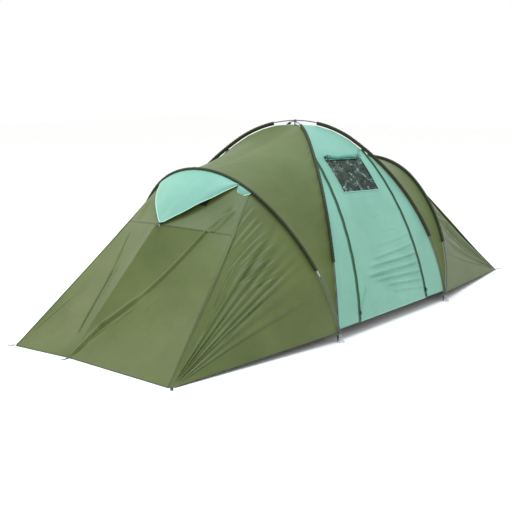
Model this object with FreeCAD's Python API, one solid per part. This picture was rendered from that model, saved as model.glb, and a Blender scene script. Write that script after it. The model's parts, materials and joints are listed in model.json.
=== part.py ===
import FreeCAD, Part
import math
import os

# Six-person tunnel tent on four bent poles: two crossed dome poles over the living area
# and a leaning hoop at each end. Millimetres, +Z up, +X along the tent, front is -Y.
# The origin is on the ground under the place where the dome poles cross.

V = FreeCAD.Vector

# ---------------------------------------------------------------- overall sizes
peak_height = 1950.0
tent_length = 6000.0
end_width = 2000.0
pole_span_x = 2120.0
pole_span_y = 2600.0
left_hoop_height = peak_height - 298.0
right_hoop_height = peak_height - 385.0

# ---------------------------------------------------------------- shape of the bent poles
crown_radius = 1040.0
crown_half_angle = 35.0
hoop_crown_radius = 1000.0
hoop_crown_half_angle = 39.0
hoop_lean = 18.0
hoop_foot_inset = 50.0
left_hoop_span = pole_span_y
right_hoop_span = pole_span_y + 20.0

# ---------------------------------------------------------------- poles, ferrules and feet
pole_radius = 5.5
pole_bore = pole_radius - 1.5
pole_sections = 7
section_gap = 0.4
crossing_gap = 1.0
ferrule_clearance = 0.3
ferrule_bore = pole_radius + ferrule_clearance
ferrule_radius = ferrule_bore + 1.2
ferrule_length = 60.0
cord_radius = pole_bore - 2.5
pin_radius = pole_bore - 1.5
pin_insert = 45.0
shoulder_height = 3.0
pole_end_height = 75.0
ring_wire = 4.0
ring_radius = 34.0

# ---------------------------------------------------------------- sleeves
sleeve_bore = ferrule_radius + 1.5
sleeve_radius = sleeve_bore + 2.5
sleeve_web = 2.0
dome_sleeve_end = 720.0
crown_opening = 230.0
left_sleeve_end = 690.0
right_sleeve_end = 620.0

# ---------------------------------------------------------------- cloth
cloth = 2.5
cloth_inset = sleeve_radius + 13.0
web_clearance = 1.8
crown_sag = 26.0
crown_patch_reach = 70.0
seam_gap = 2.0
hem_height = 110.0
corner_height = 85.0
ground_gap = 4.0
corner_tab = 40.0
end_peg_offset = 286.0
end_peg_inset = 50.0
side_inward = 0.3
brow_inward = 0.4

# ---------------------------------------------------------------- doors, zips and windows
zip_top_x = 445.0
zip_foot_x = 655.0
door_top_height = peak_height - 295.0
door_hinge_drop = 60.0
gusset_start = 70.0
tape_width = 14.0
tape_thickness = 2.0
tape_lift = 1.0
slider_length = 30.0
slider_width = 12.0
slider_height = 7.0
slider_lift = 5.0
slider_rest = 90.0
slider_top = door_top_height - 305.0
post_size = 6.0
post_rise = 2.0
pull_rise = 5.0
pull_length = 34.0
pull_width = 7.0
pull_thickness = 2.5
window_half_width = zip_top_x - 128.0
window_high = door_top_height - 77.0
window_low = window_high - 316.0
film_thickness = 1.0
film_overlap = 15.0
blind_radius = 17.0
blind_half_length = window_half_width - 27.0
blind_lift = 6.0
tie_clearance = 1.0
tie_thickness = 1.5
tie_width = 18.0
tie_inset = 60.0

# ---------------------------------------------------------------- vent hoods
hood_half_width = 600.0
hood_reach = 585.0
hood_drop = 425.0
hood_end_depth = 6.0
hood_root_inset = 13.0
hood_root_out = 11.0
hood_bow = 42.0
toggle_length = 46.0
toggle_radius = 6.0
vent_half_width = 280.0
vent_near = 120.0
vent_far = 320.0
end_split = hood_half_width - 40.0
brow_reach = hood_reach + 15.0
brow_drop = hood_drop + 25.0
brow_half_width = hood_half_width + 50.0
brow_corner_reach = hood_reach - 285.0
brow_corner_drop = brow_drop + 78.0

# ---------------------------------------------------------------- floors and inner curtains
floor_thickness = 3.0
floor_lip = 90.0
living_half_x = pole_span_x / 2 - 160.0
living_half_y = pole_span_y / 2 - 460.0
cabin_floor_start = pole_span_x / 2 - 80.0
cabin_floor_end = tent_length / 2 - 220.0
cabin_floor_half_y = end_width / 2 - 140.0
curtain_x = pole_span_x / 2 - 100.0
curtain_half_y = pole_span_y / 2 - 520.0
curtain_height = right_hoop_height - 315.0
curtain_door_half_y = 420.0
curtain_door_low = 160.0
curtain_door_high = curtain_height - 130.0

# ---------------------------------------------------------------- pegging points
webbing = 2.0
webbing_width = 25.0
peg_loop_length = 45.0
peg_ring_radius = 14.0
peg_ring_bore = 9.0
peg_ring_thickness = 4.0
peg_ring_gap = 0.5
hook_width = 8.0
hook_thickness = 3.0
hook_clearance = 1.0
strap_width = 20.0
strap_lift = 1.0
strap_drop = 4.0
buckle_share = 0.45
buckle_size = 30.0
buckle_thickness = 6.0

NODES = {}


# ================================================================ helpers
def unit(vector):
    """The vector at length one."""
    return vector * (1.0 / vector.Length)


class Arch:
    """A bent pole's centreline: a crown arc and a tangent side arc down each side, in one plane."""

    def __init__(self, half_span, rise, radius, half_angle, across, up, base):
        self.across, self.up, self.base = across, up, base
        self.rise, self.radius = rise, radius
        self.angle = math.radians(half_angle)
        sine, cosine = math.sin(self.angle), math.cos(self.angle)
        joint_s = radius * sine
        joint_z = rise - radius + radius * cosine
        run, drop = half_span - joint_s, -joint_z
        self.side_radius = -(run * run + drop * drop) / (2 * (run * sine + drop * cosine))
        self.side_s = joint_s - self.side_radius * sine
        self.side_z = joint_z - self.side_radius * cosine
        self.foot_angle = math.atan2(half_span - self.side_s, -self.side_z)
        self.crown_length = radius * self.angle
        self.side_length = self.side_radius * (self.foot_angle - self.angle)
        self.half_length = self.crown_length + self.side_length

    def flat(self, distance, inset=0.0):
        """Place in the arch's own plane at a distance from the crown: across, up and angle."""
        side = 1.0 if distance >= 0 else -1.0
        reach = abs(distance)
        if reach <= self.crown_length:
            angle = reach / self.radius
            across = (self.radius - inset) * math.sin(angle)
            height = self.rise - self.radius + (self.radius - inset) * math.cos(angle)
        else:
            angle = self.angle + (reach - self.crown_length) / self.side_radius
            across = self.side_s + (self.side_radius - inset) * math.sin(angle)
            height = self.side_z + (self.side_radius - inset) * math.cos(angle)
        return side * across, height, side * angle

    def world(self, across, height):
        return self.base + self.across * across + self.up * height

    def at(self, distance, inset=0.0):
        across, height, _ = self.flat(distance, inset)
        return self.world(across, height)

    def outward(self, distance):
        _, _, angle = self.flat(distance)
        return self.across * math.sin(angle) + self.up * math.cos(angle)

    def along(self, distance):
        _, _, angle = self.flat(distance)
        return self.across * math.cos(angle) - self.up * math.sin(angle)

    def at_height(self, level, inset=0.0):
        """Distance from the crown where the arch, moved in by the inset, is at this world height."""
        low, high = 0.0, self.half_length * 1.2
        for _ in range(60):
            middle = (low + high) / 2
            if self.at(middle, inset).z > level:
                low = middle
            else:
                high = middle
        return (low + high) / 2

    def at_half_width(self, half_width, inset=0.0):
        """Distance from the crown where the arch, moved in by the inset, is this far from its middle."""
        low, high = 0.0, self.half_length
        for _ in range(60):
            middle = (low + high) / 2
            across, _, _ = self.flat(middle, inset)
            if across < half_width:
                low = middle
            else:
                high = middle
        return (low + high) / 2

    def arcs(self, start, end):
        """The stretch from start to end, cut where the bend radius changes."""
        breaks = [start]
        for change in (-self.crown_length, self.crown_length):
            if start < change < end:
                breaks.append(change)
        breaks.append(end)
        return list(zip(breaks[:-1], breaks[1:]))

    def sweep(self, profile, start, end):
        """Turn a profile about the centre of each arc between start and end and join the pieces.

        profile(place, outward, along) gives the face at the start of an arc.
        """
        pieces = []
        normal = self.across.cross(self.up)
        for first, last in self.arcs(start, end):
            middle = (first + last) / 2
            if abs(middle) <= self.crown_length:
                centre = self.world(0.0, self.rise - self.radius)
                radius = self.radius
            else:
                side = 1.0 if middle > 0 else -1.0
                centre = self.world(side * self.side_s, self.side_z)
                radius = self.side_radius
            face = profile(self.at(first), self.outward(first), self.along(first))
            turn = -math.degrees((last - first) / radius)
            pieces.append(face.revolve(centre, normal, turn))
        shape = pieces[0]
        for piece in pieces[1:]:
            shape = shape.fuse(piece)
        return shape.removeSplitter() if len(pieces) > 1 else shape

    def tube(self, outer, inner, start, end):
        """A bent tube along the arch; inner of 0 makes it solid."""
        def profile(place, outward, along):
            rim = Part.Face(Part.Wire(Part.Circle(place, along, outer).toShape()))
            if inner <= 0:
                return rim
            return rim.cut(Part.Face(Part.Wire(Part.Circle(place, along, inner).toShape())))
        return self.sweep(profile, start, end)


def smooth_edge(points):
    """One smooth edge through a list of points, or a straight one through two."""
    if len(points) == 2:
        return Part.LineSegment(points[0], points[1]).toShape()
    curve = Part.BSplineCurve()
    curve.interpolate(points)
    return curve.toShape()


def spread(start, end, count):
    """Evenly spaced numbers from start to end."""
    return [start + (end - start) * i / (count - 1) for i in range(count)]


def panel(first, second, inward, thickness=cloth):
    """Cloth between two edges that run the same way, with its thickness on the inner side."""
    skin = Part.makeRuledSurface(first, second)
    return skin.extrude(unit(inward) * thickness)


def group(shapes):
    """Separate solids kept as one node."""
    return Part.makeCompound(shapes)


def block(centre, size, x_axis, y_axis):
    """A box of the given size about a centre, with its sides along two directions at right angles."""
    x_axis, y_axis = unit(x_axis), unit(y_axis)
    z_axis = x_axis.cross(y_axis)
    corner = centre - x_axis * (size[0] / 2) - y_axis * (size[1] / 2) - z_axis * (size[2] / 2)
    steps = ((0, 0), (1, 0), (1, 1), (0, 1), (0, 0))
    corners = [corner + x_axis * (size[0] * a) + y_axis * (size[1] * b) for a, b in steps]
    return Part.Face(Part.makePolygon(corners)).extrude(z_axis * size[2])


def mirrored(shape, axis):
    """The shape on the other side of the tent."""
    return shape.mirror(V(0, 0, 0), axis)


# ================================================================ the four arches
half_x = pole_span_x / 2
half_y = pole_span_y / 2
half_diagonal = math.hypot(half_x, half_y)
up = V(0, 0, 1)
ground_centre = V(0, 0, 0)
front_right = unit(V(half_x, -half_y, 0))
front_left = unit(V(-half_x, -half_y, 0))

dome_a = Arch(half_diagonal, peak_height, crown_radius, crown_half_angle, front_left, up, ground_centre)
dome_b = Arch(half_diagonal, peak_height + 2 * pole_radius + crossing_gap, crown_radius,
              crown_half_angle, front_right, up, ground_centre)
# The cloth hangs from one profile under both dome poles.
cloth_right = Arch(half_diagonal, peak_height, crown_radius, crown_half_angle, front_right, up,
                   ground_centre)


def hoop_arch(end):
    """The leaning hoop at one end of the tent: end is -1 on the left and +1 on the right."""
    lean = math.radians(hoop_lean)
    height = left_hoop_height if end < 0 else right_hoop_height
    leaning = V(end * math.sin(lean), 0, math.cos(lean))
    base = V(end * (half_x - hoop_foot_inset), 0, 0)
    half_span = left_hoop_span / 2 if end < 0 else right_hoop_span / 2
    return Arch(half_span, height, hoop_crown_radius, hoop_crown_half_angle, V(0, -1, 0), leaning, base)


hoops = {-1: hoop_arch(-1), 1: hoop_arch(1)}
sleeve_ends = {-1: left_sleeve_end, 1: right_sleeve_end}
end_names = {-1: "left", 1: "right"}
side_names = {-1: "front", 1: "back"}


def pole_end(arch):
    """How far along a pole its lower end is from the crown."""
    return arch.at_height(pole_end_height)


# ================================================================ poles
def pole_tubes(arch):
    """The short tubes that one pole folds into, end to end along its bend."""
    reach = pole_end(arch)
    joints = spread(-reach, reach, pole_sections + 1)
    return [arch.tube(pole_radius, pole_bore, a + section_gap / 2, b - section_gap / 2)
            for a, b in zip(joints[:-1], joints[1:])]


def pole_ferrules(arch):
    """The steel sleeves over the places where two tubes meet."""
    reach = pole_end(arch)
    joints = spread(-reach, reach, pole_sections + 1)[1:-1]
    half = ferrule_length / 2
    return [arch.tube(ferrule_radius, ferrule_bore, j - half, j + half) for j in joints]


def shock_cord(arch):
    """The elastic cord that runs through all the tubes of one pole."""
    reach = pole_end(arch) - pin_insert - 2 * cord_radius
    return arch.tube(cord_radius, 0, -reach, reach)


def pole_sleeve(arch, start, end, web_depth):
    """A stitched cloth tunnel round a pole, with the web that joins it to the panel seam."""
    def profile(place, outward, along):
        ring = Part.Face(Part.Wire(Part.Circle(place, along, sleeve_radius).toShape()))
        depth = web_depth - sleeve_bore
        web_centre = place - outward * (sleeve_bore + depth / 2)
        sideways = along.cross(outward)
        half, tall = sideways * (sleeve_web / 2), outward * (depth / 2)
        corners = [web_centre - half - tall, web_centre + half - tall, web_centre + half + tall,
                   web_centre - half + tall, web_centre - half - tall]
        web = Part.Face(Part.makePolygon(corners))
        hole = Part.Face(Part.Wire(Part.Circle(place, along, sleeve_bore).toShape()))
        return ring.fuse(web).removeSplitter().cut(hole)
    return arch.sweep(profile, start, end)


def pole_pin(arch, side):
    """The steel pin that stands in one pole end, with the shoulder that the pole rests on."""
    reach = pole_end(arch)
    place = arch.at(side * reach)
    down = arch.along(side * reach) * side
    length = (place.z - ring_wire) / -down.z
    pin = Part.makeCylinder(pin_radius, length + pin_insert, place - down * pin_insert, down)
    shoulder = Part.makeCylinder(pole_radius, shoulder_height, place, down)
    return pin.fuse(shoulder).removeSplitter()


# ================================================================ panels of the living area
def seam(arch, distance):
    """A place on the panel seam under a pole; it sags a little more near the crossing."""
    share = max(0.0, 1.0 - abs(distance) / crown_opening)
    return arch.at(distance, cloth_inset + crown_sag * share * share)


wall_inward = V(0, 1, -1)
door_top = cloth_right.at_height(door_top_height, cloth_inset)
door_hinge = door_top + door_hinge_drop
hem = cloth_right.at_height(hem_height, cloth_inset)


def wall_place(x, distance, lift=0.0):
    """A place on the front wall, this far from the crown, moved out from it by the lift."""
    place = seam(cloth_right, distance)
    out = cloth_right.outward(distance)
    flat_out = unit(V(0, out.y, out.z))
    return V(x, place.y, place.z) + flat_out * lift


def zip_x(distance):
    """How far the zip line stands from the middle of the door."""
    share = (distance - door_top) / (hem - door_top)
    return zip_top_x + (zip_foot_x - zip_top_x) * share


def seam_x(distance):
    return seam(cloth_right, distance).x


def wall_strip(x_low, x_high, start, end, lift=0.0, thickness=cloth, count=9):
    """A strip of the front wall between two edges given as functions of the distance."""
    steps = spread(start, end, count)
    first = smooth_edge([wall_place(x_low(d), d, lift) for d in steps])
    second = smooth_edge([wall_place(x_high(d), d, lift) for d in steps])
    return panel(first, second, wall_inward, thickness)


def top_panel():
    """The wide triangle over the door, from the crown down to the ends of the zips."""
    start = crown_patch_reach + seam_gap
    edge = seam_gap / 2
    triangle = wall_strip(lambda d: edge - seam_x(d), lambda d: seam_x(d) - edge, start, door_top)
    over_door = wall_strip(lambda d: edge - zip_x(d), lambda d: zip_x(d) - edge, door_top,
                           door_hinge - seam_gap)
    return triangle.fuse(over_door)


def door_panel():
    """The door between the zips, with the window opening in it."""
    edge = seam_gap / 2
    whole = wall_strip(lambda d: edge - zip_x(d), lambda d: zip_x(d) - edge, door_hinge, hem)
    opening = Part.makeBox(2 * window_half_width, pole_span_y, window_high - window_low,
                           V(-window_half_width, -pole_span_y, window_low))
    return whole.cut(opening)


def gusset(side):
    """The narrow panel between a zip and the pole; side is -1 on the left and +1 on the right."""
    edge = seam_gap / 2
    shape = wall_strip(lambda d: zip_x(d) + edge, lambda d: seam_x(d) - edge, door_top + gusset_start,
                       hem)
    return shape if side > 0 else mirrored(shape, V(1, 0, 0))


def window_film():
    """The clear sheet sewn behind the window opening."""
    start = cloth_right.at_height(window_high + film_overlap, cloth_inset)
    end = cloth_right.at_height(window_low - film_overlap, cloth_inset)
    width = window_half_width + film_overlap
    lift = -1.5 * cloth
    return wall_strip(lambda d: -width, lambda d: width, start, end, lift, film_thickness)


def zip_tape(side, inner, outer):
    """One half of a zip's tape, lying on the outside of the wall."""
    lift = tape_lift + tape_thickness
    shape = wall_strip(lambda d: zip_x(d) + inner, lambda d: zip_x(d) + outer,
                       door_top + gusset_start, hem, lift, tape_thickness)
    return shape if side > 0 else mirrored(shape, V(1, 0, 0))


def zip_frame(distance):
    """Where a slider sits on the right-hand zip: place, outward, and down along the zip."""
    lift = tape_lift + tape_thickness + slider_lift
    place = wall_place(zip_x(distance), distance, lift)
    ahead = wall_place(zip_x(distance + 1.0), distance + 1.0, lift)
    down = unit(ahead - place)
    out = cloth_right.outward(distance)
    out = unit(V(0, out.y, out.z))
    out = unit(out - down * out.dot(down))
    return place, out, down


def zip_slider(side):
    """The slider body at the foot of a zip, with the bail that its pull hangs from."""
    place, out, down = zip_frame(hem - slider_rest)
    across = out.cross(down)
    size = (slider_width, slider_length, slider_height)
    body = block(place + out * (slider_height / 2), size, across, down)
    narrow = block(place + out * (slider_height / 2) + down * (slider_length / 2),
                   (slider_width / 2, slider_length / 2, slider_height), across, down)
    post = block(place + out * (slider_height + post_rise) - down * (slider_length / 4),
                 (pull_thickness, post_size, post_size), across, down)
    shape = body.fuse(narrow).fuse(post).removeSplitter()
    return shape if side > 0 else mirrored(shape, V(1, 0, 0))


def pull_pivot():
    """Where the pull hangs on the right-hand slider: place, outward, and down along the zip."""
    place, out, down = zip_frame(hem - slider_rest)
    pivot = place + out * (slider_height + pull_rise + pull_thickness) - down * (slider_length / 4)
    return pivot, out, down


def zip_pull(side):
    """The flat tab that a hand holds, resting just off the slider's face."""
    pivot, out, down = pull_pivot()
    across = out.cross(down)
    tab = block(pivot + down * (pull_length / 2), (pull_width, pull_length, pull_thickness), across, down)
    hole = Part.makeCylinder(pull_width / 4, 4 * pull_thickness,
                             pivot + down * (pull_length * 0.85) - out * (2 * pull_thickness), out)
    shape = tab.cut(hole)
    return shape if side > 0 else mirrored(shape, V(1, 0, 0))


def blind_centre():
    """The middle of the rolled blind, just over the window."""
    start = cloth_right.at_height(window_high + film_overlap + blind_radius, cloth_inset)
    return wall_place(0.0, start, blind_radius + blind_lift)


def blind_roll():
    """The window blind, rolled up and held over the window."""
    middle = blind_centre()
    return Part.makeCylinder(blind_radius, 2 * blind_half_length, middle - V(blind_half_length, 0, 0),
                             V(1, 0, 0))


def blind_ties():
    """The two loops that hold the rolled blind."""
    middle = blind_centre()
    loops = []
    for side in (-1, 1):
        start = middle + V(side * (blind_half_length - tie_inset) - tie_width / 2, 0, 0)
        bore = blind_radius + tie_clearance
        outer = Part.makeCylinder(bore + tie_thickness, tie_width, start, V(1, 0, 0))
        inner = Part.makeCylinder(bore, tie_width, start, V(1, 0, 0))
        loops.append(outer.cut(inner))
    return loops


# ================================================================ roofs and cabins at the two ends
def hoop_seam(end, distance, inset=cloth_inset):
    return hoops[end].at(distance, inset)


def hoop_foot(end):
    """Where the hoop seam reaches the raised hem corner."""
    return hoops[end].at_height(corner_height, cloth_inset)


def dome_seam(end, distance):
    """The dome seam on one end's side, at the front."""
    place = seam(cloth_right, distance)
    return V(end * place.x, place.y, place.z)


def roof_half(end, side):
    """Half of the roof between the dome poles and a hoop; side is -1 at the front."""
    count = 11
    dome_foot = cloth_right.at_height(corner_height, cloth_inset)
    start = crown_patch_reach + seam_gap
    hoop_line = [hoop_seam(end, d) for d in spread(0.0, hoop_foot(end), count)]
    dome_line = [dome_seam(end, d) for d in spread(start, dome_foot, count)]
    inward = V(0, 1, -1)
    sheet = panel(smooth_edge(hoop_line), smooth_edge(dome_line), inward)
    # A narrow wedge closes the roof between the sheet and the ridge.
    ridge = V(dome_line[0].x, 0.0, dome_line[0].z)
    corners = [hoop_line[0], dome_line[0], ridge, hoop_line[0]]
    wedge = Part.Face(Part.makePolygon(corners)).extrude(unit(inward) * cloth)
    past_ridge = Part.makeBox(tent_length, 10 * cloth, peak_height, V(-tent_length / 2, -seam_gap / 2, 0))
    shape = sheet.fuse(wedge).cut(past_ridge)
    return shape if side < 0 else mirrored(shape, V(0, 1, 0))


def corner_low(end):
    """Cabin corner at the front: its two places on the hem, one for the side and one for the end."""
    x, y = end * tent_length / 2, -end_width / 2
    return V(x - end * corner_tab, y, ground_gap), V(x, y + corner_tab, ground_gap)


def split_reach(end):
    """How far along the hoop, each way from the crown, the end wall's upper panel is sewn on."""
    return hoops[end].at_half_width(end_split, cloth_inset)


def brow_peak(end):
    """The high point of the end wall's brow, under the tip of the vent hood."""
    top = hoops[end].at(0.0)
    return V(top.x + end * brow_reach, 0, top.z - brow_drop)


def brow_corner(end):
    """The front end of the brow, where the end wall meets the long side."""
    top = hoops[end].at(0.0)
    return V(top.x + end * brow_corner_reach, -brow_half_width, top.z - brow_corner_drop)


def cabin_side(end, side):
    """The long side wall of a cabin, from the hoop and the brow down to the pegged corner."""
    start = split_reach(end)
    side_foot, end_foot = corner_low(end)
    middle_foot = (side_foot + end_foot) * 0.5
    hoop_line = [hoop_seam(end, d) + V(end * seam_gap, 0, 0) for d in spread(hoop_foot(end), start, 9)]
    inward = V(-end * side_inward, 1, -1)
    large = panel(smooth_edge(hoop_line), smooth_edge([side_foot, middle_foot]), inward)
    small = panel(smooth_edge([hoop_line[-1], brow_corner(end)]), smooth_edge([middle_foot, end_foot]),
                  inward)
    shape = large.fuse(small)
    return shape if side < 0 else mirrored(shape, V(0, 1, 0))


def end_feet(end):
    """The end wall's three places on the hem: front corner, middle peg and back corner."""
    _, corner = corner_low(end)
    middle = V(end * (tent_length / 2 - end_peg_inset), end_peg_offset, ground_gap)
    front = V(corner.x, corner.y + seam_gap, corner.z)
    back = V(corner.x, -corner.y - seam_gap, corner.z)
    return front, middle, back


def end_wall(end):
    """The sloping end of a cabin, under its brow, with a ridge down to the middle peg."""
    front, middle, back = end_feet(end)
    clear = V(0, 2 * seam_gap, 0)
    peak, corner = brow_peak(end), brow_corner(end)
    far_corner = V(corner.x, -corner.y, corner.z)
    near_half = panel(smooth_edge([corner + clear, peak]), smooth_edge([front, middle]), V(-end, 0, -1))
    far_half = panel(smooth_edge([peak, far_corner - clear]), smooth_edge([middle, back]), V(-end, 0, -1))
    return near_half.fuse(far_half)


def brow_sheet(end, lowered, thickness):
    """The upper panel between hoop and brow, moved inwards by a drop."""
    reach = split_reach(end)
    peak, corner = brow_peak(end), brow_corner(end)
    far_corner = V(corner.x, -corner.y, corner.z)
    shift = V(end * seam_gap, 0, seam_gap - lowered)
    clear = V(0, 2 * seam_gap, 0)
    halves = []
    for start, finish, foot_a, foot_b in ((reach - 2 * seam_gap, 0.0, corner + clear, peak),
                                          (0.0, 2 * seam_gap - reach, peak, far_corner - clear)):
        first = smooth_edge([hoop_seam(end, d) + shift for d in spread(start, finish, 9)])
        second = smooth_edge([foot_a + shift, foot_b + shift])
        halves.append(panel(first, second, V(-end * brow_inward, 0, -1), thickness))
    return halves[0].fuse(halves[1])


def vent_opening(end, grow):
    """The box that cuts the vent out of the upper panel, or its mesh when it is grown."""
    top = hoop_seam(end, 0.0)
    low, high = vent_near - grow, vent_far + grow
    width = vent_half_width + grow
    x_low = min(top.x + end * low, top.x + end * high)
    return Part.makeBox(high - low, 2 * width, peak_height, V(x_low, -width, 0))


def brow_panel(end):
    """The upper panel of the end wall, with the vent opening that the hood covers."""
    return brow_sheet(end, 0.0, cloth).cut(vent_opening(end, 0.0))


def vent_mesh(end):
    """The midge net behind the vent."""
    return brow_sheet(end, 2 * cloth, film_thickness).common(vent_opening(end, film_overlap))


def hood_corner(end):
    """The lowest point of a vent hood."""
    top = hoops[end].at(0.0)
    return V(top.x + end * hood_reach, 0, top.z - hood_drop)


def hood_root(end, distance):
    """A place on the hood's sewn edge, just under the hoop sleeve on its outer side."""
    return hoops[end].at(distance, hood_root_inset) + V(end * hood_root_out, 0, 0)


def hood_rim(low, tip):
    """The hood's free edge from its sewn end to its point, bowed up clear of the brow."""
    places = []
    for share in spread(0.0, 1.0, 7):
        bow = hood_bow * math.sin(math.pi * share)
        places.append(low + (tip - low) * share + V(0, 0, bow))
    return smooth_edge(places)


def vent_hood(end):
    """The beak over a vent: sewn along the hoop and drawn down to one point."""
    reach = hoops[end].at_half_width(hood_half_width, hood_root_inset)
    tip = hood_corner(end)
    halves = []
    for side in (1, -1):
        root = smooth_edge([hood_root(end, d) for d in spread(side * reach, 0.0, 9)])
        low = hood_root(end, side * reach) + V(end * hood_end_depth / 2, 0, -hood_end_depth)
        halves.append(panel(root, hood_rim(low, tip), V(-end * brow_inward, 0, -1)))
    return halves[0].fuse(halves[1])


def hood_toggle(end):
    """The toggle that holds the hood's point away from the wall."""
    tip = hood_corner(end)
    down = unit(V(end * 2, 0, -1))
    return Part.makeCylinder(toggle_radius, toggle_length, tip + down * seam_gap, down)


# ================================================================ crown
def crown_patch():
    """The reinforced patch where the four seams meet under the crossing."""
    place = seam(cloth_right, crown_patch_reach - 2 * seam_gap)
    corners = [V(x_side * place.x, y_side * place.y, place.z)
               for x_side, y_side in ((-1, -1), (1, -1), (1, 1), (-1, 1), (-1, -1))]
    low = seam(cloth_right, 0.0)
    quarters = []
    for a, b in zip(corners[:-1], corners[1:]):
        face = Part.Face(Part.makePolygon([a, b, low, a]))
        quarters.append(face.extrude(V(0, 0, -cloth)))
    return quarters[0].fuse(quarters[1:]).removeSplitter()


def crown_hook():
    """The hook over the crossing that the crown patch hangs from."""
    top = dome_b.at(0.0).z + pole_radius + hook_clearance
    half = 2 * pole_radius
    bottom = seam(cloth_right, 2 * half).z + hook_clearance
    x_axis, y_axis = V(1, 0, 0), V(0, 1, 0)
    side_size = (hook_thickness, hook_width, top - bottom)
    bar_size = (2 * half + hook_thickness, hook_width, hook_thickness)
    middle = (top + bottom) / 2
    left = block(V(-half, 0, middle), side_size, x_axis, y_axis)
    right = block(V(half, 0, middle), side_size, x_axis, y_axis)
    bridge = block(V(0, 0, top + hook_thickness / 2), bar_size, x_axis, y_axis)
    base = block(V(0, 0, bottom + hook_thickness / 2), bar_size, x_axis, y_axis)
    return left.fuse([right, bridge, base]).removeSplitter()


# ================================================================ feet, straps and pegging points
def foot_corner(end, side):
    """The raised cloth corner over one foot."""
    place = seam(cloth_right, cloth_right.at_height(corner_height, cloth_inset))
    return V(end * place.x, side * abs(place.y), place.z)


def ring_centre(end, side):
    """The middle of the wire ring on the ground, between the two pole ends."""
    return V(end * (half_x - hoop_foot_inset / 2), side * half_y, ring_wire / 2)


def foot_ring(end, side):
    """The wire ring round the two pins at one corner."""
    return Part.makeTorus(ring_radius, ring_wire / 2, ring_centre(end, side), V(0, 0, 1))


def strap_run(end, side):
    """Where a corner strap starts, its run down to the foot ring, and the way its width goes."""
    top = foot_corner(end, side) + V(0, 0, -cloth - strap_drop)
    low = ring_centre(end, side) + V(0, -side * (ring_radius - ring_wire), ring_wire / 2 + strap_lift)
    run = low - top
    across = V(1, 0, 0)
    return top, run, unit(across - unit(run) * across.dot(unit(run)))


def corner_strap(end, side):
    """The webbing from the raised cloth corner down to the foot ring."""
    top, run, across = strap_run(end, side)
    return block(top + run * 0.5, (strap_width, run.Length, webbing), across, run)


def strap_buckle(end, side):
    """The buckle that tightens a corner strap."""
    top, run, across = strap_run(end, side)
    middle = top + run * buckle_share
    outer = block(middle, (buckle_size, buckle_size, buckle_thickness), across, run)
    slot = block(middle, (strap_width + hook_clearance, 2 * buckle_size, webbing + hook_clearance), across,
                 run)
    return outer.cut(slot)


def peg_places():
    """Every pegging point: the hem place, and the way its loop points."""
    places = []
    slant = unit(V(1, 1, 0))
    for end in (-1, 1):
        for side in (-1, 1):
            hem_corner = V(end * (tent_length / 2 - corner_tab / 2),
                           side * (end_width / 2 - corner_tab / 2), 0)
            places.append((hem_corner, V(end * slant.x, side * slant.y, 0)))
        middle = V(end * (tent_length / 2 - end_peg_inset), end_peg_offset, 0)
        places.append((middle, V(end, 0, 0)))
    return places


def peg_loop(place, away):
    """A webbing tail sewn to the hem, with the ring's hole left clear at its outer end."""
    sideways = V(-away.y, away.x, 0)
    start = place + away * (corner_tab / 4)
    length = peg_loop_length
    return block(start + away * (length / 2) + V(0, 0, webbing / 2), (webbing_width, length, webbing),
                 sideways, away)


def peg_ring_centre(place, away):
    """The middle of the ring that a peg loop holds."""
    return place + away * (corner_tab / 4 + peg_loop_length + peg_ring_radius + peg_ring_gap)


def peg_ring(place, away):
    """The ring that the peg goes through."""
    centre = peg_ring_centre(place, away)
    outer = Part.makeCylinder(peg_ring_radius, peg_ring_thickness, centre, V(0, 0, 1))
    return outer.cut(Part.makeCylinder(peg_ring_bore, peg_ring_thickness, centre, V(0, 0, 1)))


# ================================================================ floors and curtains
def floor_tray(x_low, x_high, half_width, lip):
    """A sewn floor with its edges turned up."""
    outer = Part.makeBox(x_high - x_low, 2 * half_width, floor_thickness + lip, V(x_low, -half_width, 0))
    wall = floor_thickness
    inner = Part.makeBox(x_high - x_low - 2 * wall, 2 * (half_width - wall), 2 * lip + wall,
                         V(x_low + wall, wall - half_width, floor_thickness))
    return outer.cut(inner)


def cabin_curtain(end):
    """The inner tent's front wall, with its doorway, hanging between cabin and living area."""
    bottom = floor_thickness + floor_lip
    sheet = Part.makeBox(cloth, 2 * curtain_half_y, curtain_height - bottom,
                         V(end * curtain_x - cloth / 2, -curtain_half_y, bottom))
    way = Part.makeBox(4 * cloth, 2 * curtain_door_half_y, curtain_door_high - curtain_door_low,
                       V(end * curtain_x - 2 * cloth, -curtain_door_half_y, curtain_door_low))
    return sheet.cut(way)


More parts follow.
